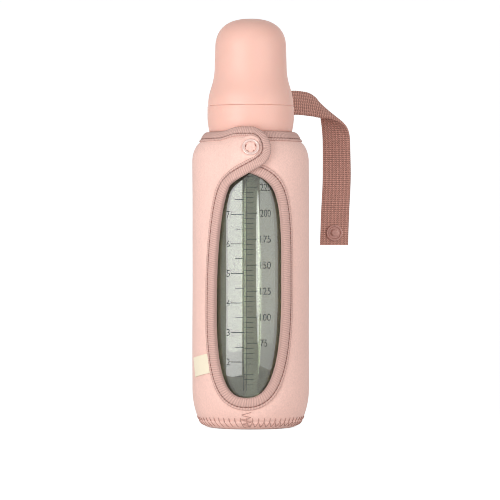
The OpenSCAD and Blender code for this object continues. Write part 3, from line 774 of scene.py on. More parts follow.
class BottleColours(bpy.types.PropertyGroup):
    jersey: tint("Jersey", "Outside of the neoprene", 245, 204, 192)
    # Partly painted shade: a grey-green lining, darkened to stand in for the shade inside the sleeve.
    lining: tint("Lining", "Inside of the neoprene", 62, 69, 58)
    tape: tint("Tape", "Binding tape", 212, 173, 163)
    webbing: tint("Webbing", "Strap", 210, 157, 143)
    plastic: tint("Plastic", "Screw collar and dust cap", 236, 186, 171)
    glass: tint("Glass", "Clear glass with a green cast", 222, 229, 211)
    silicone: tint("Teat", "Silicone of the teat", 226, 212, 190)
    stud: tint("Stud", "Press stud on the flap", 226, 196, 187)
    strap_stud: tint("Strap Stud", "Press stud on the strap", 186, 136, 125)
    thread: tint("Thread", "Sewing thread", 150, 98, 86)
    seam: tint("Seam Thread", "Thread of the zigzag seams", 196, 152, 140)
    label: tint("Label", "Bare cloth label", 246, 234, 208)
    ink: tint("Print", "Scale on the glass", 58, 62, 55)


def sizes():
    """The size settings in millimetres."""
    group = bpy.context.scene.bottle_sizes
    return {key: getattr(group, key) / MM for key in BottleSizes.__annotations__}


def colours():
    return bpy.context.scene.bottle_colours


# ---- Sections of the hard pieces ----


def glass_section():
    """Outside from the foot up to the lip, then inside back down."""
    out, bend, in_bend, lip_r, bead_r = GLASS_OUT, 2.0, 4.5, 0.8, 0.8
    shoulder_r = SHOULDER_R - GLASS_OUT
    in_r = SHOULDER_R - GLASS_IN
    mouth_r = NECK_R - GLASS_WALL + 0.1
    foot = math.degrees(math.acos((NECK_R + bend - SHOULDER_CX) / (shoulder_r + bend)))
    bend_z = SHOULDER_Z + (shoulder_r + bend) * math.sin(math.radians(foot))
    in_foot = math.degrees(math.acos((mouth_r + in_bend - SHOULDER_CX) / (in_r + in_bend)))
    in_bend_z = SHOULDER_Z + (in_r + in_bend) * math.sin(math.radians(in_foot))
    heel = math.degrees(HEEL_LEAN)
    push_up = bezier([(HEEL_CX * 0.62, out + 1.15), (HEEL_CX * 0.72, out + 0.9),
                      (HEEL_CX * 0.72, out), (HEEL_CX * 0.82, out)], 8).tolist()
    return [(0, out + 1.2), (HEEL_CX * 0.5, out + 1.2), *push_up,
            *arc(HEEL_CX, HEEL_R, HEEL_R - out, -90, -heel, 12),
            *arc(TAPER_CX, TAPER_Z, TAPER_R - out, -heel, 0, 12)[1:],
            *arc(SHOULDER_CX, SHOULDER_Z, shoulder_r, 0, foot, 28),
            *arc(NECK_R + bend, bend_z, bend, 180 + foot, 180, 10),
            *arc(NECK_R, bend_z + 2.2, bead_r, -90, 90, 14),
            *arc(NECK_R - lip_r, NECK_Z - lip_r, lip_r, 0, 90, 8),
            *arc(mouth_r + lip_r, NECK_Z - lip_r, lip_r, 90, 180, 8),
            *arc(mouth_r + in_bend, in_bend_z, in_bend, 180, 180 + in_foot, 14),
            *arc(SHOULDER_CX, SHOULDER_Z, in_r, in_foot, 0, 24)[1:],
            *arc(TAPER_CX, TAPER_Z, TAPER_R - GLASS_IN, 0, -heel, 12)[1:],
            *arc(HEEL_CX - 2, GLASS_IN + 5.2, 4, -20, -90, 12), (0, GLASS_IN + 1.2)]


def teat_section():
    """Outside from the flange up to the milk hole, then inside back down."""
    flange, top, wall = NECK_Z, NECK_Z + 2, 1.5
    dome, lip, crown = top + 4.3, top + 2.1, top + 38.5
    tip_r = 7.8
    tip_z = crown - tip_r
    waist = tip_z - tip_r - 1.5

    def shape(w, low):
        angles = np.radians(np.linspace(low, 87.8, 30))
        ball = [(max(0.3, (tip_r - w) * math.cos(v)), tip_z + (tip_r - w) * math.sin(v)) for v in angles]
        body = bezier([(14 - w, dome), (14 - w, dome + 8.5), (5.5 - w, waist - 6.5), (5.5 - w, waist)], 26)
        return [*body.tolist(), *ball]

    return [(11.9, flange), (18.6, flange), (19, flange + 0.3), (19, top - 0.3), (18.6, top), (14.4, top),
            (14.2, top + 0.2), (14.2, lip), (15.2, lip), (15.4, lip + 0.25), (15.3, lip + 0.7),
            (15, lip + 0.95), (14.3, lip + 1.3), *shape(0, -44), (0.3, crown - 0.05), (0.3, crown - 1.4),
            *shape(wall, -40)[::-1], (11.9, dome - 2)]


def collar_section():
    """Outside from the lower edge up, over the spigot that holds the cap, then inside back down."""
    high, low = CAP_Z, CAP_Z - 13.8
    side = [(21.3 + 1.1 * math.sin(math.pi / 2 * v), low + 13.8 * 0.62 * v) for v in np.linspace(0.08, 1, 20)]
    return [(COLLAR_BORE_R, low + 0.3), (19.9, low), (20.7, low), (21.1, low + 0.12), *side,
            *arc(21.95, high - 0.45, 0.45, 0, 90, 6), (20.15, high),
            *arc(20.15, high + 2.4, 0.22, -90, 90, 8), (20.15, high + 3.6),
            *arc(19.75, high + 3.6, 0.4, 0, 90, 5), (18.7, high + 4), (18.5, high + 3.9),
            (18.25, high + 2.3), (14.9, high + 2.2), *arc(14.9, high + 1.9, 0.3, 90, 180, 5),
            (14.6, high + 0.4), (19.5, high + 0.4), (COLLAR_BORE_R, high + 0.3)]


def cap_section():
    """Inside from the top down to the lower edge, then outside back up."""
    top, crown, flare, thick = CAP_Z + 45.4, CAP_Z + 29.4, CAP_Z + 21, 1.6

    def wall(w):
        skirt = bezier([(22.1 - w, CAP_Z + 0.45), (22.1 - w, CAP_Z + 9.03),
                        (18.65 - w, flare - 10.08), (18.65 - w, flare)], 36).tolist()
        angles = np.radians(np.linspace(0, 89, 60))
        dome = [((18.4 - w) * math.cos(v) ** 0.8, crown + (16 - w) * math.sin(v) ** 0.8) for v in angles]
        return [*skirt, *dome]

    return [(0, top - thick), *wall(thick)[::-1], (20.5, CAP_Z + 0.1), (20.6, CAP_Z), (21.65, CAP_Z),
            *arc(21.75, CAP_Z + 0.35, 0.35, -90, 0, 5), *wall(0), (0, top)]


# ---- Sections and faces of the soft pieces ----

# The folded tape as (width from the turned edge, depth), outer side first.
TAPE_SECTION = [(6.2, 0.12), (6.23, -0.12), (6.06, -0.36), (5.65, -0.44), (5.15, -0.36), (4.9, -0.1),
                (4.75, 0.0), (4.6, -0.1), (4.3, -0.4), (3.7, -0.56), (2.7, -0.64), (1.7, -0.6), (0.9, -0.44),
                (0.35, -0.12), (0.06, 0.4), (0.0, 1.2), (0.05, 2.0), (0.3, 2.55), (0.9, 2.8), (3.2, 2.84),
                (5.2, 2.82), (5.5, 2.6), (5.5, 2.34), (3.0, 2.24), (0.8, 2.15), (0.6, 1.4), (0.72, 0.45),
                (2.5, 0.16), (4.7, 0.3), (5.6, 0.16)]


def snap_plane(spot, depth):
    """A point and the outward normal of the flat that the press stud leaves at a depth."""
    a = lean(SNAP_T)
    return spot(np.array([0.0]), np.array([SNAP_T]), depth)[0], np.array([0, -math.cos(a), math.sin(a)])


def level(spot, u, t, depth, flat):
    """Depth at which the cloth lies in the stud's flat."""
    point, normal = snap_plane(spot, flat)
    return depth + ((spot(u, t, depth) - point) @ normal) / MM


def seat(u, t, room=0.0):
    """How far the cloth is pressed flat by the stud, from 1 under it to 0 beside it."""
    return 1 - smooth((from_stud(u, np.asarray(t)) - SEAT_R - room) / 1.4)


def ripple(u, t):
    """Slight unevenness of foam that was cut and sewn by hand, in millimetres."""
    a = np.asarray(u) / BODY_R
    wide = np.sin(5 * a + t * 0.06) + np.sin(3 * a - t * 0.045)
    return 0.05 * (wide + 0.6 * np.sin(11 * a + t * 0.13))


def ease_edge(e, edge, far, width, over):
    """A depth that eases from edge to far between two distances from the sewn edge. e is that distance."""
    return edge + (far - edge) * smooth((e - width) / over)


class BOTTLE_OT_finishes(bpy.types.Operator):
    """Make the finishes that the pieces share"""
    bl_idname = "bottle.finishes"
    bl_label = "Finishes"
    bl_options = {"REGISTER", "UNDO"}

    def execute(self, context):
        c, s = colours(), sizes()
        knitted("jersey", c.jersey)
        # The lining's dark colour is partly painted shade from inside the sleeve.
        knitted("lining", c.lining)
        ribbed("tape", c.tape, s["rib"], s["groove"])
        woven("strap webbing", c.webbing, s["pick"], s["cord"])
        moulded("plastic", c.plastic)
        blown_glass("glass", c.glass)
        silicone("silicone", c.silicone)
        enamelled("stud", c.stud)
        enamelled("strap stud", c.strap_stud)
        spun("thread", c.thread)
        spun("seam thread", c.seam)
        satin("label", c.label)
        inked("print", c.ink)
        return {"FINISHED"}


class BOTTLE_OT_glass(bpy.types.Operator):
    """Turn the glass bottle and lay the thread round its neck"""
    bl_idname = "bottle.glass"
    bl_label = "Glass Bottle"
    bl_options = {"REGISTER", "UNDO"}

    def execute(self, context):
        glass = turned("bottle_glass", glass_section(), 224)
        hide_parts("glass_bottle")
        finish(glass, finish_of("glass"), "bottle", 60)
        section = [(-0.15, -1.1), (0.35, -0.8), (0.72, -0.3), (0.72, 0.3), (0.35, 0.8), (-0.15, 1.1)]
        ridge = helix("neck_thread", NECK_R, section, start=155.6, turns=1.5, pitch=THREAD_PITCH)
        finish(ridge, finish_of("glass"), "bottle", 60)
        return {"FINISHED"}


# The scale on the glass: the height of 0 ml, that of one step of 25 ml above it, and the ml of an ounce.
SCALE_FOOT = 4.6
SCALE_STEP = 13.26
STEP_ML = 25
OUNCE_ML = 28.41

# Its marks run between two places across the glass, and have a line width. The figures stand beside them.
STEP_MARK, STEP_LINE = (-2.0, 3.4), 0.34
SHORT_MARK, SHORT_LINE = (-2.0, 1.4), 0.22
TICK_MARK, TICK_LINE = (-3.5, -2.1), 0.16
OUNCE_MARK, OUNCE_LINE = (-10.1, -3.7), 0.34
HALF_MARK, HALF_LINE = (-8.0, -3.7), 0.3
UPRIGHTS, UPRIGHT_LINE = (-3.62, -2.05), 0.2
UPRIGHT_LOW, UPRIGHT_STEPS = 20, 9.3
FIGURE_X, FIGURE_W = 4.9, 1.78
OUNCE_FIGURE, OUNCE_SHARE = (-12.3, -10.7), 0.95
PRINT_T = 0.03


class BOTTLE_OT_scale(bpy.types.Operator):
    """Print the scale on the front of the glass"""
    bl_idname = "bottle.scale"
    bl_label = "Printed Scale"
    bl_options = {"REGISTER", "UNDO"}

    def wrapped(self, obj):
        """Lays a flat drawing in x and z on the front of the glass."""
        r = GLASS_R + PRINT_T
        for v in obj.data.vertices:
            x = v.co.x / MM
            v.co.y = -math.sqrt(r * r - x * x) * MM

    def line(self, x0, x1, z, width):
        """A level line of short faces, which can follow the glass."""
        clear_selection()
        n = max(1, round(abs(x1 - x0) / 0.8))
        bpy.ops.mesh.primitive_grid_add(x_subdivisions=n, y_subdivisions=1, size=1)
        obj = bpy.context.object
        for v in obj.data.vertices:
            v.co = ((x0 + (v.co.x + 0.5) * (x1 - x0)) * MM, 0, (z + v.co.y * width) * MM)
        return obj

    def upright(self, x, z0, z1, width):
        obj = self.line(x - width / 2, x + width / 2, 0, 1)
        for v in obj.data.vertices:
            v.co.z = (z0 + (v.co.z / MM + 0.5) * (z1 - z0)) * MM
        return obj

    def figure(self, words, x0, x1, z, height):
        """Figures from x0 to x1, cut into narrow strips that can follow the glass."""
        clear_selection()
        bpy.ops.object.text_add()
        obj = bpy.context.object
        obj.data.body, obj.data.offset = words, -0.005
        bpy.ops.object.convert(target="MESH")
        obj = bpy.context.object
        narrow = bmesh.new()
        narrow.from_mesh(obj.data)
        xs = [v.co.x for v in narrow.verts]
        for x in np.linspace(min(xs), max(xs), 5 * len(words) + 1)[1:-1]:
            every = [*narrow.verts, *narrow.edges, *narrow.faces]
            bmesh.ops.bisect_plane(narrow, geom=every, plane_co=(x, 0, 0), plane_no=(1, 0, 0))
        bmesh.ops.triangulate(narrow, faces=narrow.faces)
        narrow.to_mesh(obj.data)
        narrow.free()
        co = np.array([v.co[:] for v in obj.data.vertices])
        low, high = co.min(axis=0), co.max(axis=0)
        for v, p in zip(obj.data.vertices, co):
            across = (p[0] - low[0]) / (high[0] - low[0])
            up = (p[1] - low[1]) / (high[1] - low[1])
            v.co = ((x0 + across * (x1 - x0)) * MM, 0, (z + (up - 0.5) * height) * MM)
        return obj

    def execute(self, context):
        pieces = []
        height = sizes()["figure"]
        for i in range(3, 10):
            z = SCALE_FOOT + i * SCALE_STEP
            words = str(i * STEP_ML)
            pieces.append(self.figure(words, FIGURE_X, FIGURE_X + FIGURE_W * len(words), z, height))
            pieces.append(self.line(*STEP_MARK, z, STEP_LINE))
        for i in range(7, 48):
            z = SCALE_FOOT + i * SCALE_STEP / 5
            if i % 5:
                pieces.append(self.line(*SHORT_MARK, z, SHORT_LINE))
                pieces.append(self.line(*TICK_MARK, z, TICK_LINE))
        ounce = OUNCE_ML * SCALE_STEP / STEP_ML
        for i in range(2, 9):
            z = SCALE_FOOT + i * ounce
            if i < 8:
                pieces.append(self.line(*OUNCE_MARK, z, OUNCE_LINE))
                pieces.append(self.figure(str(i), *OUNCE_FIGURE, z, height * OUNCE_SHARE))
            pieces.append(self.line(*HALF_MARK, z - ounce / 2, HALF_LINE))
        for x in UPRIGHTS:
            pieces.append(self.upright(x, UPRIGHT_LOW, SCALE_FOOT + UPRIGHT_STEPS * SCALE_STEP, UPRIGHT_LINE))
        clear_selection()
        for piece in pieces:
            self.wrapped(piece)
            piece.select_set(True)
        bpy.context.view_layer.objects.active = pieces[0]
        bpy.ops.object.join()
        scale = named(bpy.context.object, "printed_scale")
        if sum(p.normal.y for p in scale.data.polygons) > 0:
            edit(scale, (bpy.ops.mesh.flip_normals, {}))
        finish(scale, finish_of("print"), "bottle")
        return {"FINISHED"}


class BOTTLE_OT_teat(bpy.types.Operator):
    """Turn the silicone teat"""
    bl_idname = "bottle.teat"
    bl_label = "Teat"
    bl_options = {"REGISTER", "UNDO"}

    def execute(self, context):
        teat = turned("soft_teat", teat_section(), 128)
        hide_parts("teat")
        finish(teat, finish_of("silicone"), "teat", 50)
        return {"FINISHED"}


class BOTTLE_OT_collar(bpy.types.Operator):
    """Turn the screw collar and the thread inside it"""
    bl_idname = "bottle.collar"
    bl_label = "Screw Collar"
    bl_options = {"REGISTER", "UNDO"}

    def execute(self, context):
        collar = turned("collar_shell", collar_section())
        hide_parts("screw_collar")
        finish(collar, finish_of("plastic"), "collar", 40)
        section = [(-0.15, -0.8), (0.2, -0.6), (0.42, -0.2), (0.42, 0.2), (0.2, 0.6), (-0.15, 0.8)]
        ridge = helix("collar_thread", COLLAR_BORE_R, section, start=157.4, turns=1.25,
                      pitch=THREAD_PITCH, way=-1)
        finish(ridge, finish_of("plastic"), "collar", 50)
        return {"FINISHED"}


class BOTTLE_OT_cap(bpy.types.Operator):
    """Turn the dust cap"""
    bl_idname = "bottle.cap"
    bl_label = "Dust Cap"
    bl_options = {"REGISTER", "UNDO"}

    def execute(self, context):
        cap = turned("cap_shell", cap_section(), 224)
        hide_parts("dust_cap")
        finish(cap, finish_of("plastic"), "cap", 40)
        return {"FINISHED"}


# How far from the stud's middle the cloth can feel it.
STUD_REACH = 9


class BOTTLE_OT_sleeve(bpy.types.Operator):
    """Cut and wrap the neoprene of the sleeve and its floor"""
    bl_idname = "bottle.sleeve"
    bl_label = "Sleeve"
    bl_options = {"REGISTER", "UNDO"}

    def execute(self, context):
        # The wall meets itself below the window, at u = 0 and u = ROUND.
        path = BOTTLE_EDGE
        inner = path + EDGE_IN * sides(path)
        low = int(np.argmin(np.where(path[:, 1] < 30, np.abs(path[:, 0]), 1e9)))
        start = next(i for i, p in enumerate(inner) if p[1] < FOLD_FOOT[1] and p[0] < -FOLD_U)
        last = next(i for i, p in enumerate(path) if p[0] > ROUND - FOLD_U - 1.2)
        left = inner[start:low] + [ROUND, 0]
        right = inner[low + 1:last]
        hem = [(u, SEAM_Z) for u in np.linspace(0, ROUND, 96)]
        seam = np.linspace(SEAM_Z, float(inner[low, 1]), 8)
        fold = [(ROUND - FOLD_U, t) for t in np.linspace(FOLD_FOOT[1] + 0.9, RIM_T - EDGE_IN, 22)]
        loop = np.array([*hem, *[(ROUND, t) for t in seam[1:]], *left[::-1], *fold,
                         *right[::-1], *[(0, t) for t in seam[::-1][:-1]]])
        sewn = np.vstack([path, [(ROUND - FOLD_U, RIM_T)], path[:low + 1][::-1] + [ROUND, 0]])

        def from_edge(u, t):
            return edge_distance(np.stack([u, t], axis=-1), sewn)

        def face(u, t):
            """The outside, drawn in at the base seam and at the zigzag seam, and pressed flat by the stud."""
            e = from_edge(u, t)
            d = ease_edge(e, TAPE_FACE_T, -0.02, TAPE_W - 0.2, 2.2) - ripple(u, t) * smooth((e - 6) / 8)
            d = d + 0.35 * (1 - smooth((t - SEAM_Z) / 1.6))
            d = d + 0.3 * (1 - smooth(np.abs(u - ROUND - SEAM_U) / 0.9)) * (t < WINDOW_LOW)
            near = from_stud(u, t) < STUD_REACH
            return np.where(near, d + (level(place, u, t, 0.0, CRUSH) - d) * seat(u, t) * near, d)

        def back(u, t):
            """The inside, with a hollow for the prongs of each stud."""
            d = ease_edge(from_edge(u, t), TAPE_BACK_T, SLEEVE_WALL, TAPE_INNER_W, 1.6)
            hollow = level(place, u, t, SLEEVE_WALL, SLEEVE_WALL - PRONG_RING_T - 0.06) - SLEEVE_WALL
            d = np.where(from_stud(u, t) < STUD_REACH, d + hollow * seat(u, t), d)
            off = np.hypot(u - ROUND / 2, t - ANCHOR_TOP + ANCHOR_H / 2)
            return d - 0.95 * (1 - smooth((off - SEAT_R) / 1.2))

        wall = cloth("sleeve_wall", loop, face, back, on_bottle, 1.7, (0.0, ROUND))
        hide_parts("sleeve_panel")
        edit(wall, (bpy.ops.mesh.remove_doubles, dict(threshold=1e-6)))
        finish(wall, [finish_of("jersey"), finish_of("lining")], "bottle", 60)

        heel = math.degrees(HEEL_LEAN)
        outline = [(0, 0.25), (12, 0.2), (17, 0.08),
                   *arc(HEEL_CX, HEEL_R, HEEL_R, -90, -heel - 8, 10),
                   *arc(HEEL_CX, HEEL_R, HEEL_R - 0.3, -heel - 4, -heel - 0.3, 3),
                   *arc(HEEL_CX, HEEL_R, HEEL_R - SLEEVE_WALL, -heel - 0.3, -90, 8),
                   (12, SLEEVE_WALL + 0.02), (0, SLEEVE_WALL + 0.1)]
        floor = turned("sleeve_floor", outline, 160)
        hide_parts("sleeve_base")
        flat = floor.data.uv_layers.new(name="Cloth")
        for corner in floor.data.loops:
            p = floor.data.vertices[corner.vertex_index].co
            flat.data[corner.index].uv = (p.x / MM / MAP_SPAN, p.y / MM / MAP_SPAN)
        finish(floor, finish_of("jersey"), "bottle", 50)
        return {"FINISHED"}


def tape_stations(path, mitre_from, mitre_to):
    """Stations of the tape on a path. Between two indices its ends are cut along the fold line."""
    across, way, s = sides(path), headings(path), lengths(path)
    cut = np.array([0, 1 / abs(FOLD_WAY[0])])
    return [(path[i], cut if mitre_from <= i <= mitre_to else across[i], way[i], s[i])
            for i in range(len(path))]


# How far before the flap's rise the mitre of its tape starts, and the station past the flap's tip.
MITRE_U = 1.5
PAST_TIP = 41


class BOTTLE_OT_tape(bpy.types.Operator):
    """Lay the binding tape round the window, the rim and the flap"""
    bl_idname = "bottle.tape"
    bl_label = "Binding Tape"
    bl_options = {"REGISTER", "UNDO"}

    def execute(self, context):
        def press(u, t, depth):
            """Presses the tape flat under the tongue's stud."""
            k = seat(u, t) * (from_stud(u, t) < 7)
            front = level(place, u, t, 0.0, CRUSH - 0.02) + np.clip(depth, -0.3, 0.2) * 0.2
            behind = level(place, u, t, SLEEVE_WALL, SLEEVE_WALL - PRONG_RING_T - 0.04)
            return depth + (np.where(depth < 1.0, front, behind) - depth) * k

        # Round the tongue's tip the tape is a little narrower, so that it can't close on itself at the stud.
        slim = []
        for p, across, way, s in tape_stations(BOTTLE_EDGE, 0, 0):
            near = np.linalg.norm(p - np.array([0, SNAP_T]))
            share = min(1.0, (near - 0.5) / TAPE_W) if near < 6.7 and p[0] < 4 else 1.0
            slim.append((p, across * share, way, s))
        tape = strip("window_tape", slim, TAPE_SECTION[::-1], on_bottle, press)
        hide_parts("edge_binding")
        finish(tape, finish_of("tape"), "bottle", 60)

        # The stations where the mitred end would cross the tape before it are left out.
        line = FLAP_LINE
        end = len(line) - 1
        mitre = LEVEL_U + MITRE_U
        first = next(i for i in range(PAST_TIP, end) if line[i][0] < mitre + TAPE_W * FOLD_WAY[1])
        stop = next(i for i in range(PAST_TIP, end) if line[i][0] < mitre)
        stations = tape_stations(line, stop, end)
        stations = [stations[i] for i in range(end + 1) if i <= first or i >= stop]
        tape = strip("flap_tape", stations, TAPE_SECTION[::-1], raised)
        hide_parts("flap_binding")
        finish(tape, finish_of("tape"), None, 60)
        hinge_cloth(tape)
        return {"FINISHED"}


def hinge_cloth(piece):
    """Bakes the transform of a piece of the flap into its mesh."""
    start = raised(-FOLD_U + 0.05, SNAP_T, 0.0)
    end = raised(-FOLD_U + 4.0, SNAP_T, 0.0)
    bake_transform(piece)


class BOTTLE_OT_flap(bpy.types.Operator):
    """Cut the flap and press it over its stud"""
    bl_idname = "bottle.flap"
    bl_label = "Flap"
    bl_options = {"REGISTER", "UNDO"}

    def execute(self, context):
        inner = FLAP_LINE + EDGE_IN * sides(FLAP_LINE)
        inner = inner[(inner[:, 0] > -FOLD_U + 0.4) & (inner[:, 1] > FOLD_FOOT[1] + 0.4)]
        foot = FOLD_FOOT[1] + 0.9
        fold = [(-FOLD_U, t) for t in np.linspace(RIM_T - EDGE_IN, foot, 24)[:-1]]
        loop = np.array([(-FOLD_U, foot), *inner[::-1], *fold])

        def from_edge(u, t):
            return edge_distance(np.stack([u, t], axis=-1), FLAP_LINE)

        def face(u, t):
            """The outside, pressed flat by the stud, with a hollow in the flat and a lobe at each prong."""
            d = ease_edge(from_edge(u, t), TAPE_FACE_T, -0.02, TAPE_W - 0.2, 2.0)
            off = from_stud(u, t)
            d = d + (level(raised, u, t, 0.0, 0.25) - d) * seat(u, t, 0.1)
            hollow = 0.62 * smooth((3.1 - off) / 1.2)
            swell = 0.22 * smooth((7.0 - off) / 1.3) * smooth((off - 4.6) / 1.0)
            turn = np.cos(5 * (np.arctan2(t - SNAP_T, u) - PRONG_TURN))
            lobes = 0.75 * smooth((turn - 0.35) / 0.5) * smooth((off - 1.9) / 0.8) * smooth((3.9 - off) / 0.5)
            return d - hollow - swell + lobes

        def back(u, t):
            d = ease_edge(from_edge(u, t), TAPE_BACK_T, SLEEVE_WALL, TAPE_INNER_W, 1.6)
            return d + (level(raised, u, t, SLEEVE_WALL, 1.35) - d) * seat(u, t, 0.8)

        flap = cloth("flap_cloth", loop, face, back, raised, 0.75, fine=(5.6, 0.3))
        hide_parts("flap")
        finish(flap, [finish_of("jersey"), finish_of("lining")], None, 60)
        hinge_cloth(flap)
        return {"FINISHED"}


class BOTTLE_OT_stitches(bpy.types.Operator):
    """Sew the tape down and close the base and the front with zigzag seams"""
    bl_idname = "bottle.stitches"
    bl_label = "Stitches"
    bl_options = {"REGISTER", "UNDO"}

    def dash(self, length, thickness):
        """One stitch: a thread that dips into the tape at both ends."""
        clear_selection()
        bpy.ops.mesh.primitive_uv_sphere_add(segments=7, ring_count=6, radius=0.5 * MM)
        obj = bpy.context.object
        centre, spans = (0, 0, 0), (length, thickness, thickness * 0.7)
        edit(obj,
             (bpy.ops.transform.rotate, dict(value=math.pi / 2, orient_axis="Y", center_override=centre)),
             (bpy.ops.transform.resize, dict(value=spans, center_override=centre)))
        co = np.array([v.co[:] for v in obj.data.vertices]) / MM
        co[:, 2] -= 0.35 * thickness * (2 * np.abs(co[:, 0]) / length) ** 3
        faces = [list(p.vertices) for p in obj.data.polygons]
        bpy.data.objects.remove(obj)
        return co, faces

    def row(self, name, line, offset, spot, depth, one, pitch, keep):
        """Copies of a stitch in a row beside an edge, at the points that are kept."""
        co, faces = one
        seam = resampled(line + offset * sides(line), pitch)
        way = headings(seam)
        points, all_faces = [], []
        for p, d in zip(seam, way):
            if not keep(p):
                continue
            at = spot(p[0], p[1], depth)
            x = unit(spot(p[0] + 0.2 * d[0], p[1] + 0.2 * d[1], depth) - at)
            z = unit(spot(p[0], p[1], depth - 0.5) - at)
            y = np.cross(z, x)
            n = len(points) * len(co)
            points.append(at + (co[:, :1] * x + co[:, 1:2] * y + co[:, 2:] * z) * MM)
            all_faces += [[i + n for i in f] for f in faces]
        return from_faces(name, np.vstack(points), all_faces)

    def execute(self, context):
        s = sizes()
        one = self.dash(s["dash"], s["thread"])
        pitch, offset = s["dash"] + s["dash_gap"], s["groove"]
        proud = -0.2

        def on_window(p):
            """Stitches beside the stud, and short of the fold."""
            past_fold = p[0] < -FOLD_U + 0.3 and p[1] > FOLD_FOOT[1] - 0.5
            return from_stud(*p) > SEAT_R + 0.8 and not past_fold

        def on_flap(p):
            return from_stud(*p) > SEAT_R + 0.2 and p[0] > -FOLD_U + 0.3

        row = self.row("window_stitches", BOTTLE_EDGE, offset, on_bottle, proud, one, pitch, on_window)
        finish(row, finish_of("thread"), "bottle", 60)
        row = self.row("flap_stitches", FLAP_LINE, offset, raised, proud, one, pitch, on_flap)
        finish(row, finish_of("thread"), None, 60)
        hinge_cloth(row)

        n, half = round(ROUND / s["zigzag"]), s["zigzag"] / 2
        threads = []

        def thread(a, b, sag=-0.12):
            """A straight run of thread that dives into the cloth at both ends."""
            (u0, t0), (u1, t1) = a, b
            dive = ((0, 0.45), (0.08, 0.1), (0.25, sag), (0.5, sag), (0.75, sag), (0.92, 0.1), (1, 0.45))
            threads.append(np.array([place(u0 + k * (u1 - u0), t0 + k * (t1 - t0), d) for k, d in dive]))

        for i in range(n):
            u = SEAM_U + 1.7 + (i + 0.5) * ROUND / n
            thread((u, 6.2), (u, 4.1))
            thread((u, 4.2), (u + half, 1.2))
            if u < ROUND / 2:
                thread((u, 4.2), (u - half, 1.2))
        seam = tube("base_zigzag", threads, s["thread"] / 2)
        finish(seam, finish_of("seam thread"), "bottle", 60)
        threads.clear()

        # The front seam runs from the window's foot down to the base, and its steps grow shorter.
        t, side, step, reach = 9.3, 1, 1.45, 2.9
        while t > 1.4:
            thread((SEAM_U + reach * side, t), (SEAM_U - reach * side, t - step), -0.2)
            t, side, step = t - step, -side, step * 0.92
        seam = tube("front_zigzag", threads, s["thread"] / 2)
        finish(seam, finish_of("seam thread"), "bottle", 60)
        return {"FINISHED"}


# ---- Strap ----


def rolled(start, first, last, length, n):
    """Stations of a soft diagonal fold, from a first way along and across to the last."""
    turns = []
    for along, across in (first, last):
        d = unit(along)
        w = unit(np.array(across) - (np.array(across) @ d) * d)
        turns.append(Matrix(np.column_stack([d, w, np.cross(d, w)]).tolist()).to_quaternion())
    stations, p = [], np.array(start, float)
    for k in np.linspace(0, 1, n + 1):
        m = np.array(turns[0].slerp(turns[1], k).to_matrix())
        stations.append((tuple(p), tuple(m[:, 1])))
        p = p + m[:, 0] * length / n
    return stations


# The webbing's stations as (centre, way across), from the sleeve's back over the fold to its hanging end.
FOLD = rolled((33.8, 45.4, 169.5), ((0.96, 0.05, -0.28), (0, -0.55, -0.83)),
              ((0.05, 0.05, -1), (0.96, -0.25, 0)), 19.7, 8)
HANG_Y = FOLD[-1][0][1]
STATIONS = [((0, STRAP_Y, 140.3), (1, 0, 0)), ((0.3, STRAP_Y + 0.6, 147), (1, 0, 0)),
            ((1.5, 34, 154), (0.97, -0.15, -0.15)), ((4.5, 37.5, 160.5), (0.85, -0.2, -0.45)),
            ((9.5, 41, 165.5), (0.6, -0.25, -0.75)), ((15.5, 42.8, 168.9), (0.3, -0.38, -0.87)),
            ((23, 44.1, 170.7), (0, -0.5, -0.86)), *FOLD,
            ((46, HANG_Y + 0.1, 150), (0.96, -0.27, 0)), ((46.2, HANG_Y - 0.2, 140), (0.98, -0.16, 0)),
            ((46.1, 50.5, 128), (1, 0, 0)), ((45.3, 49.9, 112), (1, 0, 0)), ((44.7, 50, 94.6), (1, 0, 0))]


def columns(frames):
    """The centres and the ways across of frames (centre, across)."""
    return np.array([c for c, _ in frames], float), np.array([w for _, w in frames], float)


def strap_frame(x):
    """Centre and way across the webbing at a place along its stations."""
    centres, ways = columns(STATIONS)
    last = len(STATIONS) - 1
    i = min(int(x), last - 1)
    p0, p1, p2, p3 = (centres[min(max(j, 0), last)] for j in (i - 1, i, i + 1, i + 2))
    k = x - i
    centre = 0.5 * (2 * p1 + (p2 - p0) * k + (2 * p0 - 5 * p1 + 4 * p2 - p3) * k * k
                    + (3 * p1 - p0 - 3 * p2 + p3) * k ** 3)
    return centre, unit(ways[i] + (ways[i + 1] - ways[i]) * k)


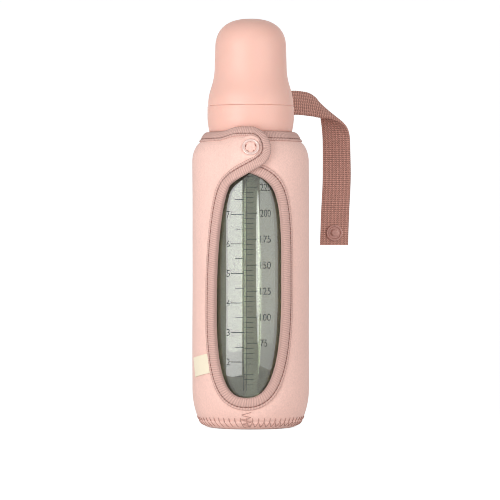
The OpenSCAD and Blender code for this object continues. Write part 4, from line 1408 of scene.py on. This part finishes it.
def webbing(name, frames, half):
    """A flat woven band through frames (centre, across), with toothed selvages. It bends along its
    diagonals, so a fold reaches one edge before the other."""
    tooth, pitch, count = 0.16, 1.1, 31
    centres, ways = columns(frames)
    s = lengths(centres)
    n = max(2, round(s[-1] / (pitch / 3)))
    at = np.linspace(0, s[-1], n + 1)
    centres = np.stack([np.interp(at, s, centres[:, i]) for i in range(3)], axis=-1)
    across = np.linspace(-half, half, count)
    late = at[:, None] - across
    lie = unit(np.stack([np.interp(late, s, ways[:, i]) for i in range(3)], axis=-1))
    steps = np.cumsum((lie[:, 1:] + lie[:, :-1]) / 2 * (across[1] - across[0]), axis=1)
    run = np.concatenate([np.zeros((n + 1, 1, 3)), steps], axis=1)
    middle = count // 2
    face = centres[:, None] + run - run[:, middle:middle + 1]
    out = unit(np.cross(np.gradient(face, axis=0), np.gradient(face, axis=1)))
    for _ in range(3):
        out[1:-1] = unit((out[:-2] + 2 * out[1:-1] + out[2:]) / 4)

    # Thinner towards the selvages, with a shallow groove at every second column.
    edge = np.abs(across) / half
    thin = STRAP_T / 2 * (1 - 0.35 * np.clip((edge - 0.86) / 0.14, 0, 1)) - 0.05 * (np.arange(count) % 2)
    bite = (tooth * (np.abs((at / pitch) % 1 - 0.5) * 2))[:, None, None]
    low, high = face - thin[:, None] * out, face + thin[:, None] * out
    right = (face[:, -1] + (0.1 - bite[:, 0]) * lie[:, -1])[:, None]
    left = (face[:, 0] - (0.1 - bite[:, 0]) * lie[:, 0])[:, None]
    for side in (low, high):
        side[:, [0, -1]] += bite * np.stack([lie[:, 0], -lie[:, -1]], axis=1)
    points = np.concatenate([low, right, high[:, ::-1], left], axis=1)
    m = points.shape[1]
    v = np.concatenate([across, [half], across[::-1], [-half]])
    uv = np.stack([np.repeat(at, m), np.tile(v, n + 1)], axis=-1)
    return from_faces(name, points.reshape(-1, 3) * MM, swept_faces(n + 1, m), uv), s[-1]


class BOTTLE_OT_strap(bpy.types.Operator):
    """Lay the webbing strap and sew its end to the back"""
    bl_idname = "bottle.strap"
    bl_label = "Strap"
    bl_options = {"REGISTER", "UNDO"}

    def execute(self, context):
        end = len(STATIONS) - 1
        frames = [strap_frame(x) for x in np.linspace(0, end, 12 * end + 1)]
        strap, length = webbing("strap_webbing", frames, STRAP_W / 2)
        edit(strap, (bpy.ops.mesh.normals_make_consistent, dict(inside=False)))
        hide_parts("strap")
        finish(strap, finish_of("strap webbing"), None, 50)
        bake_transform(strap)

        # The sewn end is woven flat, wrapped round the sleeve and pressed flat by its stud.
        r = STRAP_Y
        pressed = BODY_R + SLEEVE_TO_STRAP + STRAP_T - 0.4
        heights = np.linspace(ANCHOR_TOP - ANCHOR_H, ANCHOR_TOP + 0.3, 24)
        frames = [((0, r, z), (1, 0, 0)) for z in heights]
        sewn, length = webbing("strap_end", frames, STRAP_W / 2)
        for v in sewn.data.vertices:
            x, y = v.co.x / MM, v.co.y / MM
            v.co.x, v.co.y = y * math.sin(x / r) * MM, y * math.cos(x / r) * MM
            off = math.hypot(x, v.co.z / MM - ANCHOR_TOP + ANCHOR_H / 2)
            k = float(1 - smooth((off - SEAT_R) / 0.8))
            if y > r and k > 0:
                v.co.y += (min(v.co.y / MM, pressed) * MM - v.co.y) * k
        edit(sewn, (bpy.ops.mesh.normals_make_consistent, dict(inside=False)))
        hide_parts("strap_anchor")
        finish(sewn, finish_of("strap webbing"), "bottle", 50)

        def on_band(x, z, out):
            """A place on the outside of the sewn end."""
            q = r + STRAP_T / 2 + out
            return np.array([q * math.sin(x / r), q * math.cos(x / r), z]) * MM

        low, high, half = ANCHOR_TOP - ANCHOR_H + 1.4, ANCHOR_TOP - 1.4, STRAP_W / 2 - 1.5
        corners = [(-half, low), (half, low), (half, high), (-half, high), (-half, low)]
        dive = ((0.1, -0.12), (0.25, 0.08), (0.5, 0.12), (0.75, 0.08), (0.9, -0.12))
        threads = []
        for (x0, z0), (x1, z1) in zip(corners, corners[1:]):
            n = max(2, round(math.hypot(x1 - x0, z1 - z0) / 2.2))
            for i in range(n):
                run = [((i + f) / n, out) for f, out in dive]
                threads.append(np.array([on_band(x0 + k * (x1 - x0), z0 + k * (z1 - z0), out)
                                         for k, out in run]))
        seam = tube("strap_end_stitches", threads, 0.2)
        finish(seam, finish_of("thread"), "bottle", 60)
        return {"FINISHED"}


class BOTTLE_OT_label(bpy.types.Operator):
    """Fold the bare cloth label that is sewn in beside the window"""
    bl_idname = "bottle.label"
    bl_label = "Label"
    bl_options = {"REGISTER", "UNDO"}

    def execute(self, context):
        # It is sewn in at start, hangs out by reach and is folded back on itself.
        start, turn = np.array([-23.7, 34.0]), math.radians(11)
        reach, thick = 13.4, 0.2
        low_lift, high_lift = 0.02, 0.31
        n, m = 22, 9
        out = np.array([-math.cos(turn), -math.sin(turn)])
        up = np.array([math.sin(turn), -math.cos(turn)])
        run = [*[(k * reach, low_lift) for k in np.linspace(0, 1, n)], (reach + 0.16, 0.16),
               *[(k * reach, high_lift) for k in np.linspace(1, 0, n)]]
        rows = len(run)
        s = lengths(np.array(run))
        points, uv = [], []
        for inward in (0, thick):
            for i, (along, lift) in enumerate(run):
                k = along / reach
                for j in range(m):
                    v = (j / (m - 1) - 0.5) * LABEL_W
                    p = start + along * out + v * up
                    curl = 0.25 * k * k + 0.12 * math.sin(3.1 * k + v * 0.35) * k
                    sign = -1 if i <= n else 1
                    points.append(place(p[0], p[1], -(0.08 + lift + curl) - sign * inward * 0.5))
                    uv.append((s[i], v))
        faces = []
        for i in range(rows - 1):
            for j in range(m - 1):
                a, b = i * m + j, (i + 1) * m + j
                faces += [[a, a + 1, b + 1, b],
                          [rows * m + a, rows * m + b, rows * m + b + 1, rows * m + a + 1]]
        rim = [*[i * m for i in range(rows)], *[(rows - 1) * m + j for j in range(1, m)],
               *[i * m + m - 1 for i in range(rows - 2, -1, -1)], *range(m - 2, 0, -1)]
        faces += [[a, b, b + rows * m, a + rows * m] for a, b in zip(rim, rim[1:] + rim[:1])]
        label = from_faces("cloth_label", points, faces, uv)
        edit(label, (bpy.ops.mesh.normals_make_consistent, dict(inside=False)))
        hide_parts("side_label")
        finish(label, finish_of("label"), "bottle", 50)
        return {"FINISHED"}


class BOTTLE_OT_studs(bpy.types.Operator):
    """Give the pressed studs their enamel"""
    bl_idname = "bottle.studs"
    bl_label = "Press Studs"
    bl_options = {"REGISTER", "UNDO"}

    def ring(self, name, radius, thick, depth):
        """A round bead that lies in the flap's flat."""
        clear_selection()
        bpy.ops.mesh.primitive_torus_add(major_segments=72, minor_segments=14,
                                         major_radius=radius * MM, minor_radius=thick * MM)
        piece = named(bpy.context.object, name)
        centre, normal = snap_plane(raised, depth)
        turn = Vector(normal).to_track_quat("Z", "Y").to_matrix()
        for v in piece.data.vertices:
            v.co = turn @ v.co + Vector(centre)
        piece.data.update()
        finish(piece, finish_of("stud"), "flap", 60)

    def execute(self, context):
        self.ring("flap_stud_rim", radius=3.9, thick=0.55, depth=-0.14)
        self.ring("flap_stud_inner_rim", radius=3.05, thick=0.2, depth=0.0)
        for node in ("flap_snap_ring", "flap_snap_socket", "tongue_snap_stud", "tongue_snap_ring"):
            paint(node, finish_of("stud"))
        for node in ("strap_snap_stud", "strap_snap_cap", "anchor_snap_socket", "anchor_snap_ring"):
            paint(node, finish_of("strap stud"))
        return {"FINISHED"}


def paint(node, material):
    """Gives a solid of the frame its finish."""
    for obj in bpy.data.objects:
        own = obj.name == node or obj.name.startswith(node + "[") or obj.get("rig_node") == node
        if obj.type == "MESH" and own:
            for slot in obj.material_slots:
                slot.material = material
            if not obj.material_slots:
                obj.data.materials.append(material)


# The stage, in metres, with the camera's focal length and sensor in millimetres. Each lamp has its place,
# width, height, radiance and shape, and aims level at the bottle's axis.
FLOOR_SIDE = 4
FLOOR_FRONT = -2.2
FLOOR_BACK = 1.6
WALL_HEIGHT = 3
LAMPS = {
    "key": ((-0.297, -0.402, 0.165), 0.32, 0.33, 4.5, "RECTANGLE"),
    "fill": ((0.424, -0.424, 0.175), 0.56, 0.35, 1.75, "RECTANGLE"),
    "strip": ((0.30, -1.07, 0.08), 0.16, 0.16, 3.2, "ELLIPSE"),
}
EYE = (-0.00036, -1.498, 0.0919)
FOCAL_LENGTH = 207.8
SENSOR_W = 36
PAPER = (0.82, 0.82, 0.82, 1)
PAPER_GLOW = 1.25
GLOW_SHARE = 0.72
WORLD_BASE = 0.5


class BOTTLE_OT_stage(bpy.types.Operator):
    """Set the floor, the lamps and the camera"""
    bl_idname = "bottle.stage"
    bl_label = "Stage"
    bl_options = {"REGISTER", "UNDO"}

    def lamp(self, name, spot, width, height, radiance, shape):
        clear_selection()
        bpy.ops.object.light_add(type="AREA", location=spot)
        lamp = bpy.context.object
        lamp.name = lamp.data.name = name
        lamp.data.shape, lamp.data.size, lamp.data.size_y = shape, width, height
        lamp.data.energy = radiance * math.pi * width * height
        aim = Vector((0, 0, spot[2]))
        lamp.rotation_euler = (aim - Vector(spot)).to_track_quat("-Z", "Y").to_euler()

    def pale(self, tree):
        """1 to the camera and in gloss and glass, and 0 to the rest of the light."""
        path = tree.nodes.new("ShaderNodeLightPath")
        seen = path.outputs["Is Camera Ray"]
        for key in ("Is Glossy Ray", "Is Transmission Ray"):
            most = tree.nodes.new("ShaderNodeMath")
            most.operation = "MAXIMUM"
            tree.links.new(seen, most.inputs[0])
            tree.links.new(path.outputs[key], most.inputs[1])
            seen = most.outputs[0]
        return seen

    def execute(self, context):
        scene = bpy.context.scene
        clear_selection()
        bpy.ops.mesh.primitive_plane_add(size=1)
        floor = named(bpy.context.object, "studio_floor")
        corners = [(x, y, 0) for y in (FLOOR_FRONT, FLOOR_BACK) for x in (-FLOOR_SIDE, FLOOR_SIDE)]
        for v, c in zip(floor.data.vertices, corners):
            v.co = c

        # The back edge is drawn up into a wall, and the corner between them is rounded.
        pick(floor)
        select_mode("EDGE")
        bpy.ops.mesh.select_all(action="DESELECT")
        bpy.ops.object.mode_set(mode="OBJECT")
        for e in floor.data.edges:
            e.select = all(floor.data.vertices[i].co.y > 1 for i in e.vertices)
        bpy.ops.object.mode_set(mode="EDIT")
        bpy.ops.mesh.extrude_region_move(TRANSFORM_OT_translate=dict(value=(0, 0, WALL_HEIGHT)))
        bpy.ops.mesh.select_all(action="DESELECT")
        bpy.ops.object.mode_set(mode="OBJECT")
        for e in floor.data.edges:
            ends = [floor.data.vertices[i].co for i in e.vertices]
            e.select = all(abs(co.y - FLOOR_BACK) < 0.01 and co.z < 0.01 for co in ends)
        bpy.ops.object.mode_set(mode="EDIT")
        bpy.ops.mesh.bevel(offset=0.7, segments=12, affect="EDGES")
        bpy.ops.mesh.select_mode(type="VERT")
        bpy.ops.object.mode_set(mode="OBJECT")
        for p in floor.data.polygons:
            p.use_smooth = True
        white = bpy.data.materials.new("paper")
        white.use_nodes = True
        tree = white.node_tree
        tree.nodes.clear()
        out = tree.nodes.new("ShaderNodeOutputMaterial")
        mixer = tree.nodes.new("ShaderNodeMixShader")
        matt = tree.nodes.new("ShaderNodeBsdfDiffuse")
        glow = tree.nodes.new("ShaderNodeEmission")
        share = tree.nodes.new("ShaderNodeMath")
        matt.inputs["Color"].default_value = PAPER
        glow.inputs["Strength"].default_value = PAPER_GLOW
        share.operation = "MULTIPLY"
        share.inputs[1].default_value = GLOW_SHARE
        tree.links.new(self.pale(tree), share.inputs[0])
        tree.links.new(share.outputs[0], mixer.inputs[0])
        tree.links.new(matt.outputs[0], mixer.inputs[1])
        tree.links.new(glow.outputs[0], mixer.inputs[2])
        tree.links.new(mixer.outputs[0], out.inputs["Surface"])
        floor.data.materials.append(white)

        world = bpy.data.worlds.new("studio")
        scene.world = world
        world.use_nodes = True
        tree = world.node_tree
        back = next(n for n in tree.nodes if n.type == "BACKGROUND")
        back.inputs["Color"].default_value = (1, 1, 1, 1)
        strength = tree.nodes.new("ShaderNodeMath")
        strength.operation = "MULTIPLY_ADD"
        strength.inputs[1].default_value, strength.inputs[2].default_value = 1 - WORLD_BASE, WORLD_BASE
        tree.links.new(self.pale(tree), strength.inputs[0])
        tree.links.new(strength.outputs[0], back.inputs["Strength"])

        for name, lamp in LAMPS.items():
            self.lamp(name, *lamp)

        camera = bpy.data.cameras.new("camera")
        camera.lens, camera.sensor_width = FOCAL_LENGTH, SENSOR_W
        camera.clip_start, camera.clip_end = 0.1, 30
        eye = bpy.data.objects.new("camera", camera)
        bpy.context.collection.objects.link(eye)
        eye.location, eye.rotation_euler = EYE, (math.pi / 2, 0, 0)
        scene.camera = eye
        scene.cycles.filter_width = 0.9
        scene.view_settings.view_transform = "Standard"
        return {"FINISHED"}


OPERATORS = (BOTTLE_OT_finishes, BOTTLE_OT_stage, BOTTLE_OT_glass, BOTTLE_OT_scale, BOTTLE_OT_teat,
             BOTTLE_OT_collar, BOTTLE_OT_cap, BOTTLE_OT_sleeve, BOTTLE_OT_flap, BOTTLE_OT_tape,
             BOTTLE_OT_stitches, BOTTLE_OT_strap, BOTTLE_OT_label, BOTTLE_OT_studs)


class BOTTLE_PT_panel(bpy.types.Panel):
    """Lists the bottle's settings and the operators that make its pieces"""
    bl_label = "Baby Bottle"
    bl_idname = "BOTTLE_PT_panel"
    bl_space_type = "VIEW_3D"
    bl_region_type = "UI"
    bl_category = "Baby Bottle"

    def draw(self, context):
        for group in (context.scene.bottle_sizes, context.scene.bottle_colours):
            box = self.layout.box()
            for key in type(group).__annotations__:
                box.prop(group, key)
        for operator in OPERATORS:
            self.layout.operator(operator.bl_idname)


CLASSES = (BottleSizes, BottleColours, *OPERATORS, BOTTLE_PT_panel)


def register():
    for cls in CLASSES:
        bpy.utils.register_class(cls)
    bpy.types.Scene.bottle_sizes = bpy.props.PointerProperty(type=BottleSizes)
    bpy.types.Scene.bottle_colours = bpy.props.PointerProperty(type=BottleColours)


def unregister():
    del bpy.types.Scene.bottle_sizes
    del bpy.types.Scene.bottle_colours
    for cls in reversed(CLASSES):
        bpy.utils.unregister_class(cls)


def main():
    register()
    for operator in OPERATORS:
        group, name = operator.bl_idname.split(".")
        getattr(getattr(bpy.ops, group), name)()


if __name__ == "__main__":
    main()
